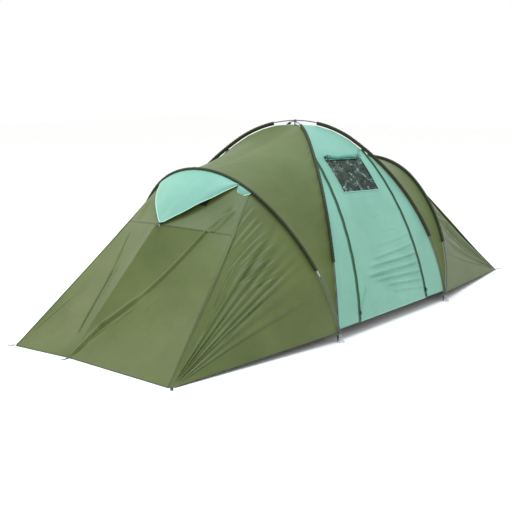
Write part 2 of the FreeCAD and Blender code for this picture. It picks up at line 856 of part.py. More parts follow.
# ================================================================ the nodes
def build():
    arches = {"dome_pole_a": dome_a, "dome_pole_b": dome_b, "left_hoop": hoops[-1],
              "right_hoop": hoops[1]}
    for name, arch in arches.items():
        NODES[name + "_tubes"] = group(pole_tubes(arch))
    NODES["pole_ferrules"] = group([part for arch in arches.values() for part in pole_ferrules(arch)])
    NODES["shock_cords"] = group([shock_cord(arch) for arch in arches.values()])

    dome_sleeves = []
    for arch in (dome_a, dome_b):
        low = arch.at_height(dome_sleeve_end)
        dome_sleeves.append(pole_sleeve(arch, crown_opening, low, cloth_inset - web_clearance))
        dome_sleeves.append(pole_sleeve(arch, -low, -crown_opening, cloth_inset - web_clearance))
    NODES["dome_sleeves"] = group(dome_sleeves)
    hoop_sleeves = []
    for end in (-1, 1):
        low = hoops[end].at_height(sleeve_ends[end])
        hoop_sleeves.append(pole_sleeve(hoops[end], -low, low, cloth_inset - web_clearance))
    NODES["hoop_sleeves"] = group(hoop_sleeves)

    for end in (-1, 1):
        where = end_names[end]
        for side in (-1, 1):
            facing = side_names[side]
            NODES[where + "_roof_" + facing] = roof_half(end, side)
            NODES[where + "_cabin_side_" + facing] = cabin_side(end, side)
        NODES[where + "_end_wall"] = end_wall(end)
        NODES[where + "_brow_panel"] = brow_panel(end)
        NODES[where + "_vent_mesh"] = vent_mesh(end)
        NODES[where + "_vent_hood"] = vent_hood(end)
        NODES[where + "_hood_toggle"] = hood_toggle(end)
        x_range = sorted((end * cabin_floor_start, end * cabin_floor_end))
        NODES[where + "_cabin_floor"] = floor_tray(x_range[0], x_range[1], cabin_floor_half_y, floor_lip)
        NODES[where + "_inner_curtain"] = cabin_curtain(end)

    front = {"top_panel": top_panel(), "gussets": group([gusset(-1), gusset(1)]),
             "door_panel": door_panel(), "window_film": window_film(),
             "gusset_zip_tapes": group([zip_tape(s, seam_gap / 2, tape_width) for s in (-1, 1)]),
             "door_zip_tapes": group([zip_tape(s, -tape_width, -seam_gap / 2) for s in (-1, 1)]),
             "rolled_blind": group([blind_roll()] + blind_ties()),
             "left_slider": zip_slider(-1), "right_slider": zip_slider(1),
             "left_pull": zip_pull(-1), "right_pull": zip_pull(1)}
    for name, shape in front.items():
        NODES["front_" + name] = shape
        NODES["back_" + name] = mirrored(shape, V(0, 1, 0))

    NODES["crown_patch"] = crown_patch()
    NODES["crown_hook"] = crown_hook()
    NODES["living_floor"] = floor_tray(-living_half_x, living_half_x, living_half_y, 0.0)

    corners = [(end, side) for end in (-1, 1) for side in (-1, 1)]
    pins = [pole_pin(arch, side) for arch in arches.values() for side in (-1, 1)]
    NODES["foot_rings_and_pins"] = group([foot_ring(*corner) for corner in corners] + pins)
    NODES["corner_straps"] = group([corner_strap(*corner) for corner in corners])
    NODES["strap_buckles"] = group([strap_buckle(*corner) for corner in corners])
    NODES["peg_loops"] = group([peg_loop(*place) for place in peg_places()])
    NODES["peg_rings"] = group([peg_ring(*place) for place in peg_places()])


build()
os.makedirs("parts", exist_ok=True)
for node, shape in NODES.items():
    shape.exportStep("parts/" + node + ".step")
    bounds = shape.optimalBoundingBox(False)
    solids = len(shape.Solids)
    print("%-26s solids %2d valid %s volume %9.0f  x %6.0f %6.0f  y %6.0f %6.0f  z %6.0f %6.0f" % (
        node, solids, shape.isValid(), shape.Volume, bounds.XMin, bounds.XMax,
        bounds.YMin, bounds.YMax, bounds.ZMin, bounds.ZMax))
print(len(NODES), "nodes")
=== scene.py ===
# %% [markdown]
# # A family tent on four bent poles
# Two dome poles cross over the living area and a leaning hoop carries each sleeping cabin. The CAD model
# holds every pole, ferrule, zip and peg ring at its real size. Here the cloth gets its real shape: drawn
# tight between the poles, creased where the pegs pull it, and soft where it hangs.

# %% Load the frame
import json
import math
import random

import bpy
import numpy as np
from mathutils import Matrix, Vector, noise


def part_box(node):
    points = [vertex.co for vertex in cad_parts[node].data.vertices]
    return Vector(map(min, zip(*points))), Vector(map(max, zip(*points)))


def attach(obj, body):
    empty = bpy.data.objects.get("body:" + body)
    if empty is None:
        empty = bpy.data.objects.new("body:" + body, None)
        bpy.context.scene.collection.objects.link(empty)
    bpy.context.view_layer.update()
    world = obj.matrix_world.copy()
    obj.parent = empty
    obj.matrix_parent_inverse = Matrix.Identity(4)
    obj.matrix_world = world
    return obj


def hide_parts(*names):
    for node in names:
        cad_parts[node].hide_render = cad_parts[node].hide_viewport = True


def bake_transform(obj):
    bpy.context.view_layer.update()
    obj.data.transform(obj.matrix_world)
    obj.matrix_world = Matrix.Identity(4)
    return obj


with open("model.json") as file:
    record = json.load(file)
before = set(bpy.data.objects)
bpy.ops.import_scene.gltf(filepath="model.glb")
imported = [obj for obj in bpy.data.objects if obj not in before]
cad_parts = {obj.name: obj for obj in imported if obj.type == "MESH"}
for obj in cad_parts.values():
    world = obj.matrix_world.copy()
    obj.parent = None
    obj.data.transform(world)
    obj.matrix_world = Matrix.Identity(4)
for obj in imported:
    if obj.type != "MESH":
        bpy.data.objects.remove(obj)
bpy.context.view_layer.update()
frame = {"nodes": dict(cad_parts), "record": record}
nodes = frame["nodes"]

# %% [markdown]
# The tent is cut to a few sizes that the cloth and the sleeves share: where the poles stand, how sharply
# they bend over the crown, and how far the cloth hangs inside them. They are in metres, and a printed line
# gives each hoop's bent crown beside the box of the hoop that the frame holds.

# %% Sizes that the cloth is cut to
POLE_RADIUS = 0.0055
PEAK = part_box("dome_pole_a_tubes")[1][2] - POLE_RADIUS
HALF_X, HALF_Y = 1.06, 1.30
CROWN_RADIUS, CROWN_ANGLE = 1.04, math.radians(35)
HOOP_RADIUS, HOOP_ANGLE = 1.0, math.radians(39)
HOOP_LEAN = math.radians(18)
HOOP_HEIGHT = {-1: 1.652, 1: 1.565}
HOOP_FOOT_INSET = 0.05
HOOP_SPREAD = {-1: 0.0, 1: 0.010}
CLOTH_INSET = 0.024
CROWN_OPENING, CROWN_SAG = 0.23, 0.026
HEM_HEIGHT, CORNER_HEIGHT, GROUND_GAP = 0.110, 0.085, 0.004
HALF_LENGTH, HALF_END = 3.0, 1.0
END_NAMES = {-1: "left", 1: "right"}
FACINGS = {-1: "front", 1: "back"}


def last_before(test, high, steps):
    """The largest distance from 0 to high at which test(d) still holds, found by halving."""
    low = 0.0
    for _ in range(steps):
        middle = (low + high) / 2
        if test(middle):
            low = middle
        else:
            high = middle
    return low


class Bend:
    """A pole's centreline in one plane: a crown arc and a tangent side arc down each side."""

    def __init__(self, half_span, rise, radius, angle, across, up, base):
        self.across, self.up, self.base = Vector(across).normalized(), Vector(up), Vector(base)
        self.rise, self.radius, self.angle = rise, radius, angle
        joint_s = radius * math.sin(angle)
        joint_z = rise - radius + radius * math.cos(angle)
        run = half_span - joint_s
        lift = run * math.sin(angle) - joint_z * math.cos(angle)
        self.side_radius = -(run * run + joint_z * joint_z) / (2 * lift)
        self.side_s = joint_s - self.side_radius * math.sin(angle)
        self.side_z = joint_z - self.side_radius * math.cos(angle)
        self.crown_length = radius * angle

    def turn(self, d):
        """How far the pole has bent over at a distance from the crown."""
        if abs(d) <= self.crown_length:
            return d / self.radius
        return math.copysign(self.angle + (abs(d) - self.crown_length) / self.side_radius, d)

    def out(self, d):
        angle = self.turn(d)
        return self.across * math.sin(angle) + self.up * math.cos(angle)

    def along(self, d):
        angle = self.turn(d)
        return self.across * math.cos(angle) - self.up * math.sin(angle)

    def at(self, d, inset=0.0):
        """The place at a distance from the crown, moved towards the inside of the bend."""
        angle = abs(self.turn(d))
        if abs(d) <= self.crown_length:
            s = (self.radius - inset) * math.sin(angle)
            z = self.rise - self.radius + (self.radius - inset) * math.cos(angle)
        else:
            s = self.side_s + (self.side_radius - inset) * math.sin(angle)
            z = self.side_z + (self.side_radius - inset) * math.cos(angle)
        return self.base + self.across * math.copysign(s, d) + self.up * z

    def at_height(self, level, inset=0.0):
        return last_before(lambda d: self.at(d, inset).z > level, 3.5, 50)


DIAGONAL = math.hypot(HALF_X, HALF_Y)
UP = (0, 0, 1)
dome_a = Bend(DIAGONAL, PEAK, CROWN_RADIUS, CROWN_ANGLE, (-HALF_X, -HALF_Y, 0), UP, (0, 0, 0))
dome_b = Bend(DIAGONAL, PEAK + 2 * POLE_RADIUS + 0.001, CROWN_RADIUS, CROWN_ANGLE, (HALF_X, -HALF_Y, 0), UP,
              (0, 0, 0))
wall_bend = Bend(DIAGONAL, PEAK, CROWN_RADIUS, CROWN_ANGLE, (HALF_X, -HALF_Y, 0), UP, (0, 0, 0))
hoops = {}
for end in (-1, 1):
    leaning = (end * math.sin(HOOP_LEAN), 0, math.cos(HOOP_LEAN))
    hoops[end] = Bend(HALF_Y + HOOP_SPREAD[end], HOOP_HEIGHT[end], HOOP_RADIUS, HOOP_ANGLE, (0, -1, 0), leaning,
                      (end * (HALF_X - HOOP_FOOT_INSET), 0, 0))
    print(END_NAMES[end], "hoop crown", hoops[end].at(0.0), "CAD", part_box(END_NAMES[end] + "_hoop_tubes"))

# %% [markdown]
# Real cloth never lies on the surface that it was cut to. A sheet is made here as a fine grid: each point
# first goes to its place on the cut pattern, and is then pressed in or out along the cloth's own normal
# by its creases. Solidify gives the sheet two faces, so that its edges catch the light.

# %% Making a sheet of cloth
CLOTH_THICKNESS = 0.0016
SMOOTH_ANGLE = math.radians(50)


def clear_selection():
    bpy.ops.object.select_all(action="DESELECT")


def mesh_points(piece):
    flat = np.zeros(len(piece.data.vertices) * 3)
    piece.data.vertices.foreach_get("co", flat)
    return flat.reshape(-1, 3)


def put_points(piece, points):
    piece.data.vertices.foreach_set("co", np.asarray(points).ravel())
    piece.data.update()


def select_only(piece):
    clear_selection()
    piece.select_set(True)
    bpy.context.view_layer.objects.active = piece


def edit(piece, *steps):
    """Runs edit-mode steps on a piece with everything in it selected."""
    select_only(piece)
    bpy.ops.object.mode_set(mode="EDIT")
    bpy.ops.mesh.select_all(action="SELECT")
    for step in steps:
        step()
    bpy.ops.object.mode_set(mode="OBJECT")


def grid(name, columns, rows, place, relief=None, outside=None, cut=None):
    """A grid shaped by place(u, v) and pressed along its normals by relief(u, v), with u and v from 0 to 1."""
    clear_selection()
    bpy.ops.mesh.primitive_grid_add(x_subdivisions=columns, y_subdivisions=rows, size=2)
    piece = bpy.context.object
    piece.name = piece.data.name = name
    uv = (mesh_points(piece)[:, :2] + 1) / 2
    put_points(piece, [place(u, v) for u, v in uv])
    middle = np.array(outside if outside is not None else (0, 0, 0.4))
    points = mesh_points(piece)
    normals = np.zeros(len(points) * 3)
    piece.data.vertices.foreach_get("normal", normals)
    normals = normals.reshape(-1, 3)
    if ((points - middle) * normals).sum() < 0:
        edit(piece, bpy.ops.mesh.flip_normals)
        normals = -normals
    if relief is not None:
        press = np.array([relief(u, v) for u, v in uv])
        put_points(piece, points + normals * press[:, None])
    lines = mesh_points(piece).reshape(rows + 1, columns + 1, 3)
    longest_run(lines.transpose(1, 0, 2))
    if cut is not None:
        drop_faces(piece, uv, cut)
    return piece


def longest_run(lines):
    """The longest of the grid's lines one way, measured along the cloth."""
    return float(np.linalg.norm(np.diff(lines, axis=1), axis=2).sum(axis=1).max())


def drop_faces(piece, uv, cut):
    """Deletes the faces whose middle on the pattern is where cut(u, v) is true."""
    select_only(piece)
    piece.data.polygons.foreach_set("select", [False] * len(piece.data.polygons))
    bpy.ops.object.mode_set(mode="EDIT")
    bpy.ops.mesh.select_all(action="DESELECT")
    bpy.ops.object.mode_set(mode="OBJECT")
    for face in piece.data.polygons:
        u, v = uv[list(face.vertices)].mean(axis=0)
        face.select = bool(cut(u, v))
    bpy.ops.object.mode_set(mode="EDIT")
    bpy.ops.mesh.delete(type="FACE")
    bpy.ops.object.mode_set(mode="OBJECT")


def thicken(piece, thickness=CLOTH_THICKNESS):
    """Two faces and an edge for a sheet, on its inner side, with soft shading."""
    select_only(piece)
    modifier = piece.modifiers.new("thickness", "SOLIDIFY")
    modifier.thickness = thickness
    modifier.offset = -1
    bpy.ops.object.modifier_apply(modifier=modifier.name)
    bpy.ops.object.shade_smooth_by_angle(angle=SMOOTH_ANGLE)
    return piece


def carry(piece, body):
    """Lets a piece ride on a body; given two bodies and two places, it only bakes the piece's transform."""
    if isinstance(body, tuple):
        fixed, moving, start, end = body
        tuple(start)
        tuple(end)
        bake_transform(piece)
    else:
        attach(piece, body)


def cloth_sheet(piece, body, replaced=(), material=None,
                thickness=CLOTH_THICKNESS):
    """Finishes a grid as a sheet of cloth: thickened, given its finish and its body."""
    thicken(piece, thickness)
    carry(piece, body)
    if replaced:
        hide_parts(*replaced)
    piece.data.materials.clear()
    piece.data.materials.append(material)
    return piece


# %% [markdown]
# Creases run in straight lines from whatever pulls on the cloth, like the spokes of a fan. Each spoke
# is a sharp crest with soft shoulders. A seeded list of spokes gives every panel its own set, and an
# envelope lets them fade where the cloth is sewn to a pole.

# %% Creases
def spokes(seed, count, low=0.0, high=1.0, width=0.03, height=0.01):
    """A list of creases across a panel: where each is, how wide and how high."""
    dice = random.Random(seed)
    made = []
    for index in range(count):
        where = low + (high - low) * (index + 0.5 + dice.uniform(-0.35, 0.35)) / count
        made.append((where, width * dice.uniform(0.6, 1.5), height * dice.uniform(0.35, 1.0),
                     dice.uniform(0.0, 0.35), dice.uniform(0.65, 1.0)))
    return made


def fan(creases, a, b):
    """The height of a set of creases at a across the fan and b along it."""
    total = 0.0
    for where, width, height, start, stop in creases:
        if b < start - 0.15 or b > stop + 0.15:
            continue
        fade = smooth((b - start + 0.15) / 0.3) * smooth((stop + 0.15 - b) / 0.3)
        off = (a - where) / width
        total += height * fade * (1.25 / (1 + off * off) ** 1.5 - 0.5 / (1 + off * off / 9))
    return total


def crease(u, v, start, stop, width, height, size):
    """One sharp fold along a line on the pattern: a crest with a valley at its side.

    The width is in metres, and the size gives the panel's own width and length in metres.
    """
    ax, ay = start[0] * size[0], start[1] * size[1]
    bx, by = stop[0] * size[0], stop[1] * size[1]
    px, py = u * size[0] - ax, v * size[1] - ay
    dx, dy = bx - ax, by - ay
    length = math.hypot(dx, dy)
    along = (px * dx + py * dy) / (length * length)
    if along < -0.05 or along > 1.05:
        return 0.0
    off = (px * dy - py * dx) / (length * width)
    if abs(off) > 4:
        return 0.0
    fade = smooth((along + 0.05) / 0.25) * smooth((1.05 - along) / 0.25)
    return height * fade * (math.exp(-off * off) - 0.8 * math.exp(-(off - 1.3) ** 2 / 0.6))


def smooth(t):
    t = min(1.0, max(0.0, t))
    return t * t * (3 - 2 * t)


def edge_fade(t, near):
    """0 at both ends of 0 to 1, and 1 further in than near."""
    return smooth(t / near) * smooth((1 - t) / near)


def ripple(place, size, seed):
    """Gentle unevenness about -1 to 1, with bumps of about the given size in metres."""
    return noise.noise(Vector(place) / size + Vector((seed * 7.1, seed * 3.3, seed * 5.7)))


def mix(a, b, t):
    return a + (b - a) * t


# %% [markdown]
# ## Finishes
# The flysheet is polyester taffeta with a thin polyurethane coat: a close weave, a soft satin gleam and
# faint mottling where the coat is uneven. One small function adds a node, and colours are written as the
# sRGB values that a paint chart gives, turned to linear light by one function.

# %% Material helpers
def paint(code, alpha=1.0):
    """An sRGB hex colour as linear red, green, blue and alpha."""
    parts = [int(code[i:i + 2], 16) / 255 for i in (1, 3, 5)]
    return [c / 12.92 if c <= 0.04045 else ((c + 0.055) / 1.055) ** 2.4 for c in parts] + [alpha]


def add(tree, kind, settings=None, **links):
    """Adds a node: settings go to its properties or sockets, and links come from other nodes' sockets."""
    node = tree.nodes.new(kind)
    for key, value in (settings or {}).items():
        if isinstance(key, str) and hasattr(node, key) and key not in node.inputs:
            setattr(node, key, value)
        else:
            node.inputs[key].default_value = value
    for key, source in links.items():
        socket = node.inputs[int(key[1:])] if key[0] == "i" and key[1:].isdigit() else node.inputs[key]
        tree.links.new(source, socket)
    return node


def blank(name, settings):
    """A material with its Principled shader set, and its node tree and object coordinates."""
    material = bpy.data.materials.new(name)
    material.use_nodes = True
    tree = material.node_tree
    shader = tree.nodes["Principled BSDF"]
    for key, value in settings.items():
        shader.inputs[key].default_value = value
    coords = add(tree, "ShaderNodeTexCoord").outputs["Object"]
    return material, tree, shader, coords


def ramp(tree, source, stops):
    node = add(tree, "ShaderNodeValToRGB", i0=source)
    elements = node.color_ramp.elements
    for index, (where, colour) in enumerate(stops):
        element = elements[index] if index < 2 else elements.new(where)
        element.position = where
        element.color = colour
    return node.outputs["Color"]


# %% Coated cloth
THREAD = 0.0028


def coated_cloth(name, dark, light, roughness, sheen_tint, crinkle=0.25):
    """Coated taffeta: two close shades of one dye, a thread grid and fine crinkles.

    The real thread spacing is 0.3 mm; it is drawn at 2.8 mm so that it shows at this distance.
    """
    material, tree, shader, coords = blank(name, {
        "Roughness": roughness, "IOR": 1.38, "Sheen Weight": 0.10, "Sheen Roughness": 0.4,
        "Sheen Tint": paint(sheen_tint)})
    mottle = add(tree, "ShaderNodeTexNoise", {"Scale": 2.2, "Detail": 4.0, "Roughness": 0.6}, Vector=coords)
    colour = ramp(tree, mottle.outputs["Fac"], [(0.3, paint(dark)), (0.7, paint(light))])
    tree.links.new(colour, shader.inputs["Base Color"])
    crumple = add(tree, "ShaderNodeTexNoise", {"Scale": 22.0, "Detail": 5.0, "Roughness": 0.55, "Distortion": 0.6},
                  Vector=coords)
    weave = [add(tree, "ShaderNodeTexWave", {"wave_type": "BANDS", "bands_direction": axis,
                                             "Scale": 1 / (THREAD * 20)}, Vector=coords) for axis in ("X", "Z")]
    threads = add(tree, "ShaderNodeMath", {"operation": "MULTIPLY"}, i0=weave[0].outputs["Fac"],
                  i1=weave[1].outputs["Fac"])
    fine = add(tree, "ShaderNodeBump", {"Strength": 0.12, "Distance": 0.0006}, Height=threads.outputs[0])
    bump = add(tree, "ShaderNodeBump", {"Strength": crinkle, "Distance": 0.004}, Height=crumple.outputs["Fac"],
               Normal=fine.outputs["Normal"])
    tree.links.new(bump.outputs["Normal"], shader.inputs["Normal"])
    return material


olive = coated_cloth("olive_coated_taffeta", "#4C592A", "#586533", 0.52, "#A9BEC9")
mint = coated_cloth("mint_coated_taffeta", "#6D9F8B", "#78AC97", 0.45, "#DDF2EA")
sleeve_cloth = coated_cloth("dark_olive_sleeve_cloth", "#262C1A", "#333A22", 0.6, "#5C6648", 0.5)
trim = coated_cloth("pale_mint_bias_binding", "#9CD2BC", "#AEDCC9", 0.5, "#FFFFFF", 0.2)
inner_cloth = coated_cloth("uncoated_inner_polyester", "#9FA894", "#B1B9A6", 0.7, "#FFFFFF", 0.4)


# %% [markdown]
# Poles, zips, webbing and net share one recipe: a mottle between two close shades and a fine grain. The
# window is clear plastic painted nearly black as shade of the dark inside, with painted reflections on its crinkles.

# %% Hard finishes
def plain_finish(name, dark, light, roughness, metallic=0.0, scale=60.0, bump=0.15, depth=0.0004, extra=None):
    """A finish with a fine mottle in its colour and a fine grain in its surface."""
    settings = {"Roughness": roughness, "Metallic": metallic}
    settings.update(extra or {})
    material, tree, shader, coords = blank(name, settings)
    grain = add(tree, "ShaderNodeTexNoise", {"Scale": scale, "Detail": 4.0}, Vector=coords)
    colour = ramp(tree, grain.outputs["Fac"], [(0.35, paint(dark)), (0.65, paint(light))])
    tree.links.new(colour, shader.inputs["Base Color"])
    relief = add(tree, "ShaderNodeBump", {"Strength": bump, "Distance": depth}, Height=grain.outputs["Fac"])
    tree.links.new(relief.outputs["Normal"], shader.inputs["Normal"])
    return material


fibreglass = plain_finish("pultruded_fibreglass", "#4A4C4B", "#5C5E5C", 0.3, 0.0, 120.0)
steel = plain_finish("zinc_plated_steel", "#A9A8A2", "#C4C3BC", 0.32, 1.0, 200.0)
nylon = plain_finish("moulded_black_nylon", "#141514", "#1E1F1E", 0.45, 0.0, 300.0)
webbing = plain_finish("black_polypropylene_webbing", "#15170F", "#24261C", 0.7, 0.0, 700.0, 0.6, 0.0008)
elastic = plain_finish("braided_shock_cord", "#C9C8C0", "#E2E0D6", 0.7, 0.0, 900.0, 0.5)
zip_cloth = plain_finish("dark_green_zip_tape", "#14382A", "#1E4A38", 0.6, 0.0, 500.0, 0.5, 0.0008)
zinc = plain_finish("black_enamelled_zinc", "#101210", "#1B1D1B", 0.25, 0.0, 150.0)
ground_sheet = plain_finish("woven_polyethylene", "#3D4A40", "#4A584D", 0.4, 0.0, 300.0, 0.4, 0.001)
net = plain_finish("black_midge_net", "#0F1210", "#2A302B", 0.8, 0.0, 1500.0, 0.9, 0.001)


def crinkled_film():
    """Clear PVC painted near-black as shade of the unlit inside, with painted pale reflections along its crinkles."""
    material, tree, shader, coords = blank("clear_pvc_film", {"Roughness": 0.16, "IOR": 1.25})
    noise_map = add(tree, "ShaderNodeTexNoise", {"Scale": 8.0, "Detail": 3.0, "Roughness": 0.5, "Distortion": 1.6},
                    Vector=coords)
    # The ramp paints light and shade: near-black for the shaded inside, and a pale painted reflection streak.
    dark, middle, painted_reflection_streak = paint("#16241D"), paint("#2B4034"), paint("#A9C3B6")
    colour = ramp(tree, noise_map.outputs["Fac"], [(0.35, dark), (0.575, middle), (0.59, painted_reflection_streak), (0.605, middle),
                                                   (0.75, dark)])
    tree.links.new(colour, shader.inputs["Base Color"])
    relief = add(tree, "ShaderNodeBump", {"Strength": 0.5, "Distance": 0.01}, Height=noise_map.outputs["Fac"])
    tree.links.new(relief.outputs["Normal"], shader.inputs["Normal"])
    return material


film = crinkled_film()

# %% Stitched seams
STITCH = 0.006


def stitched_finish(name, dark, light, thread):
    """Folded cloth with two rows of stitches; the real stitch is 3 mm long and is drawn at 6 mm to show."""
    material, tree, shader, _ = blank(name, {"Roughness": 0.6})
    uv = add(tree, "ShaderNodeTexCoord").outputs["UV"]
    parts = add(tree, "ShaderNodeSeparateXYZ", i0=uv)
    across = add(tree, "ShaderNodeMath", {"operation": "PINGPONG", 1: 0.5}, i0=parts.outputs["X"])
    row = add(tree, "ShaderNodeMath", {"operation": "COMPARE", 1: 0.2, 2: 0.05}, i0=across.outputs[0])
    turn = add(tree, "ShaderNodeMath", {"operation": "MULTIPLY", 1: 2 * math.pi / STITCH}, i0=parts.outputs["Y"])
    wave = add(tree, "ShaderNodeMath", {"operation": "SINE"}, i0=turn.outputs[0])
    dash = add(tree, "ShaderNodeMath", {"operation": "GREATER_THAN", 1: -0.3}, i0=wave.outputs[0])
    stitches = add(tree, "ShaderNodeMath", {"operation": "MULTIPLY"}, i0=row.outputs[0], i1=dash.outputs[0])
    grain = add(tree, "ShaderNodeTexNoise", {"Scale": 300.0, "Detail": 3.0}, Vector=uv)
    cloth = ramp(tree, grain.outputs["Fac"], [(0.3, paint(dark)), (0.7, paint(light))])
    mixed = add(tree, "ShaderNodeMix", {"data_type": "RGBA", 7: paint(thread)}, i0=stitches.outputs[0], i6=cloth)
    tree.links.new(mixed.outputs[2], shader.inputs["Base Color"])
    relief = add(tree, "ShaderNodeBump", {"Strength": 0.4, "Distance": 0.0006}, Height=stitches.outputs[0])
    tree.links.new(relief.outputs["Normal"], shader.inputs["Normal"])
    return material


olive_seam = stitched_finish("folded_olive_seam", "#3C4521", "#48522A", "#69734A")
hem_binding = stitched_finish("dark_hem_binding", "#343B24", "#434B30", "#6C7458")
mint_seam = stitched_finish("folded_mint_seam", "#67998A", "#72A695", "#A5D2C2")
zip_band = stitched_finish("dark_green_zip_band", "#16452A", "#205A36", "#3C7350")

FINISH_OF_SLOT = {
    "pole_fibreglass": fibreglass, "plated_steel": steel, "elastic_cord": elastic, "sleeve_webbing": sleeve_cloth,
    "midge_net": net, "clear_film": film, "zip_tape": zip_cloth, "black_zinc": zinc, "black_nylon": nylon,
    "black_webbing": webbing, "floor_sheet": ground_sheet, "inner_cloth": inner_cloth, "olive_flysheet": olive,
    "mint_flysheet": mint}
for row in frame["record"]["subparts"]:
    mesh = nodes[row["node"]].data
    mesh.materials.clear()
    mesh.materials.append(FINISH_OF_SLOT[row["material_slot"]])
print(len(nodes), "CAD nodes have their finish")

# %% [markdown]
# A tent's panels meet in flat-felled seams, folded twice and stitched in two rows, and its hems are
# folded over a tape. A crowned strip with its own UV map, in metres along its length, can carry the rows
# of stitches. A hem is a thin tube, because only its round outer edge shows.

# %% Seams and hems
def band(name, path, across, out, width, height, material, columns=6):
    """A low crowned strip along a path, with its own UV map in metres along its length."""
    path = [Vector(p) for p in path]
    rows = len(path) - 1

    def place(u, v):
        index = int(round(v * rows))
        return (path[index] + across[index] * (u - 0.5) * width +
                out[index] * (0.0012 + height * math.sin(math.pi * u)))

    inner = path[rows // 2] - out[rows // 2]
    piece = grid(name, columns, rows, place, outside=inner)
    length = sum((b - a).length for a, b in zip(path[:-1], path[1:]))
    for corner in piece.data.uv_layers.active.data:
        corner.uv.y *= length
    thicken(piece, 0.0009)
    piece.data.materials.append(material)
    return piece


def seam_band(name, path, facing_out, width, material=None, body="tent"):
    """A flat stitched seam along a path, lying on cloth that faces roughly the given way."""
    path = [Vector(p) for p in path]
    across, out = [], []
    for index in range(len(path)):
        ahead = (path[min(index + 1, len(path) - 1)] - path[max(index - 1, 0)]).normalized()
        side = ahead.cross(facing_out).normalized()
        across.append(side)
        out.append(side.cross(ahead).normalized())
    piece = band(name, path, across, out, width, 0.0015, material or olive_seam)
    carry(piece, body)
    return piece


def edge_tube(name, path, body="tent", radius=0.0035, material=None):
    """A folded hem, as a thin round edge along a path."""
    piece = tube(name, path, radius, material or hem_binding)
    carry(piece, body)
    return piece


# %% Round tubes
TUBE_SIDES = 6


def tube(name, points, radius, material):
    """A round tube through a list of places, closed at both ends."""
    points = [Vector(p) for p in points]
    rows = len(points) - 1

    def place(u, v):
        index = int(round(v * rows))
        ahead = (points[min(index + 1, rows)] - points[max(index - 1, 0)]).normalized()
        side = ahead.cross(Vector((0.13, 0.21, 1))).normalized()
        angle = 2 * math.pi * u
        return points[index] + (side * math.cos(angle) + side.cross(ahead) * math.sin(angle)) * radius

    clear_selection()
    bpy.ops.mesh.primitive_grid_add(x_subdivisions=TUBE_SIDES, y_subdivisions=rows, size=2)
    piece = bpy.context.object
    piece.name = piece.data.name = name
    uv = (mesh_points(piece)[:, :2] + 1) / 2
    put_points(piece, [place(u, v) for u, v in uv])
    edit(piece, lambda: bpy.ops.mesh.remove_doubles(threshold=radius * 0.05),
         lambda: bpy.ops.mesh.select_all(action="DESELECT"),
         lambda: bpy.ops.mesh.select_non_manifold(),
         lambda: bpy.ops.mesh.fill_holes(sides=TUBE_SIDES + 2),
         lambda: bpy.ops.mesh.select_all(action="SELECT"),
         lambda: bpy.ops.mesh.normals_make_consistent(inside=False))
    select_only(piece)
    bpy.ops.object.shade_smooth_by_angle(angle=SMOOTH_ANGLE)
    piece.data.materials.append(material)
    return piece


# %% [markdown]
# ## The dome wall
# Both dome poles have one bend, so the cloth between them at the front is part of a cylinder that runs
# along the tent. Everything on it, such as the zips and the window, is placed by how far it is from the crown.

# %% Places on the wall
ZIP_TOP_X, ZIP_FOOT_X = 0.445, 0.655
WINDOW_HALF, WINDOW_LOW, WINDOW_HIGH = 0.317, 1.262, 1.578
SEAM_GAP = 0.002
PATCH_REACH = 0.07
DOOR_TOP = wall_bend.at_height(1.655, CLOTH_INSET)
DOOR_HINGE = DOOR_TOP + 0.060
ZIP_START = DOOR_TOP + 0.004
HEM = wall_bend.at_height(HEM_HEIGHT, CLOTH_INSET)
WINDOW_TOP_D = wall_bend.at_height(WINDOW_HIGH, CLOTH_INSET)
WINDOW_LOW_D = wall_bend.at_height(WINDOW_LOW, CLOTH_INSET)


def seam(bend, d):
    """The panel seam under a dome pole, which sags a little more by the crossing."""
    share = max(0.0, 1 - abs(d) / CROWN_OPENING)
    return bend.at(d, CLOTH_INSET + CROWN_SAG * share * share)


def wall(facing, x, d, lift=0.0):
    """A place on the front (-1) or back (1) wall, moved out from it by the lift."""
    place = seam(wall_bend, d)
    out = wall_bend.out(d)
    flat = Vector((0, out.y, out.z)).normalized() * lift
    return Vector((x, -facing * (place.y + flat.y), place.z + flat.z))


def wall_outward(facing):
    """Roughly which way the middle of a wall faces."""
    return Vector((0, facing * 0.75, 0.65))


def zip_x(d):
    return ZIP_TOP_X + (ZIP_FOOT_X - ZIP_TOP_X) * (d - DOOR_TOP) / (HEM - DOOR_TOP)


def seam_x(d):
    return seam(wall_bend, d).x


# %% [markdown]
# Each wall is a top panel, a door between two zips, and a gusset out to each pole. The door is cut round
# its window, and the film, the frame and the rolled blind lift with it.

# %% Top panels over the doors
def top_panel(facing):
    start = PATCH_REACH

    def place(u, v):
        d = mix(start, DOOR_HINGE - SEAM_GAP, v)
        half = seam_x(d) if d < DOOR_TOP else mix(seam_x(DOOR_TOP), zip_x(d), smooth((d - DOOR_TOP) / 0.01))
        return wall(facing, mix(-half, half, u), d)

    def relief(u, v):
        slack = -0.010 * edge_fade(u, 0.5) * edge_fade(v, 0.4)
        return slack + 0.0015 * edge_fade(u, 0.2) * ripple((u * 1.5, v, facing), 0.25, 1)

    piece = grid(FACINGS[facing] + "_top_cloth", 90, 60, place, relief)
    return cloth_sheet(piece, "tent", (FACINGS[facing] + "_top_panel",),
                       material=mint)


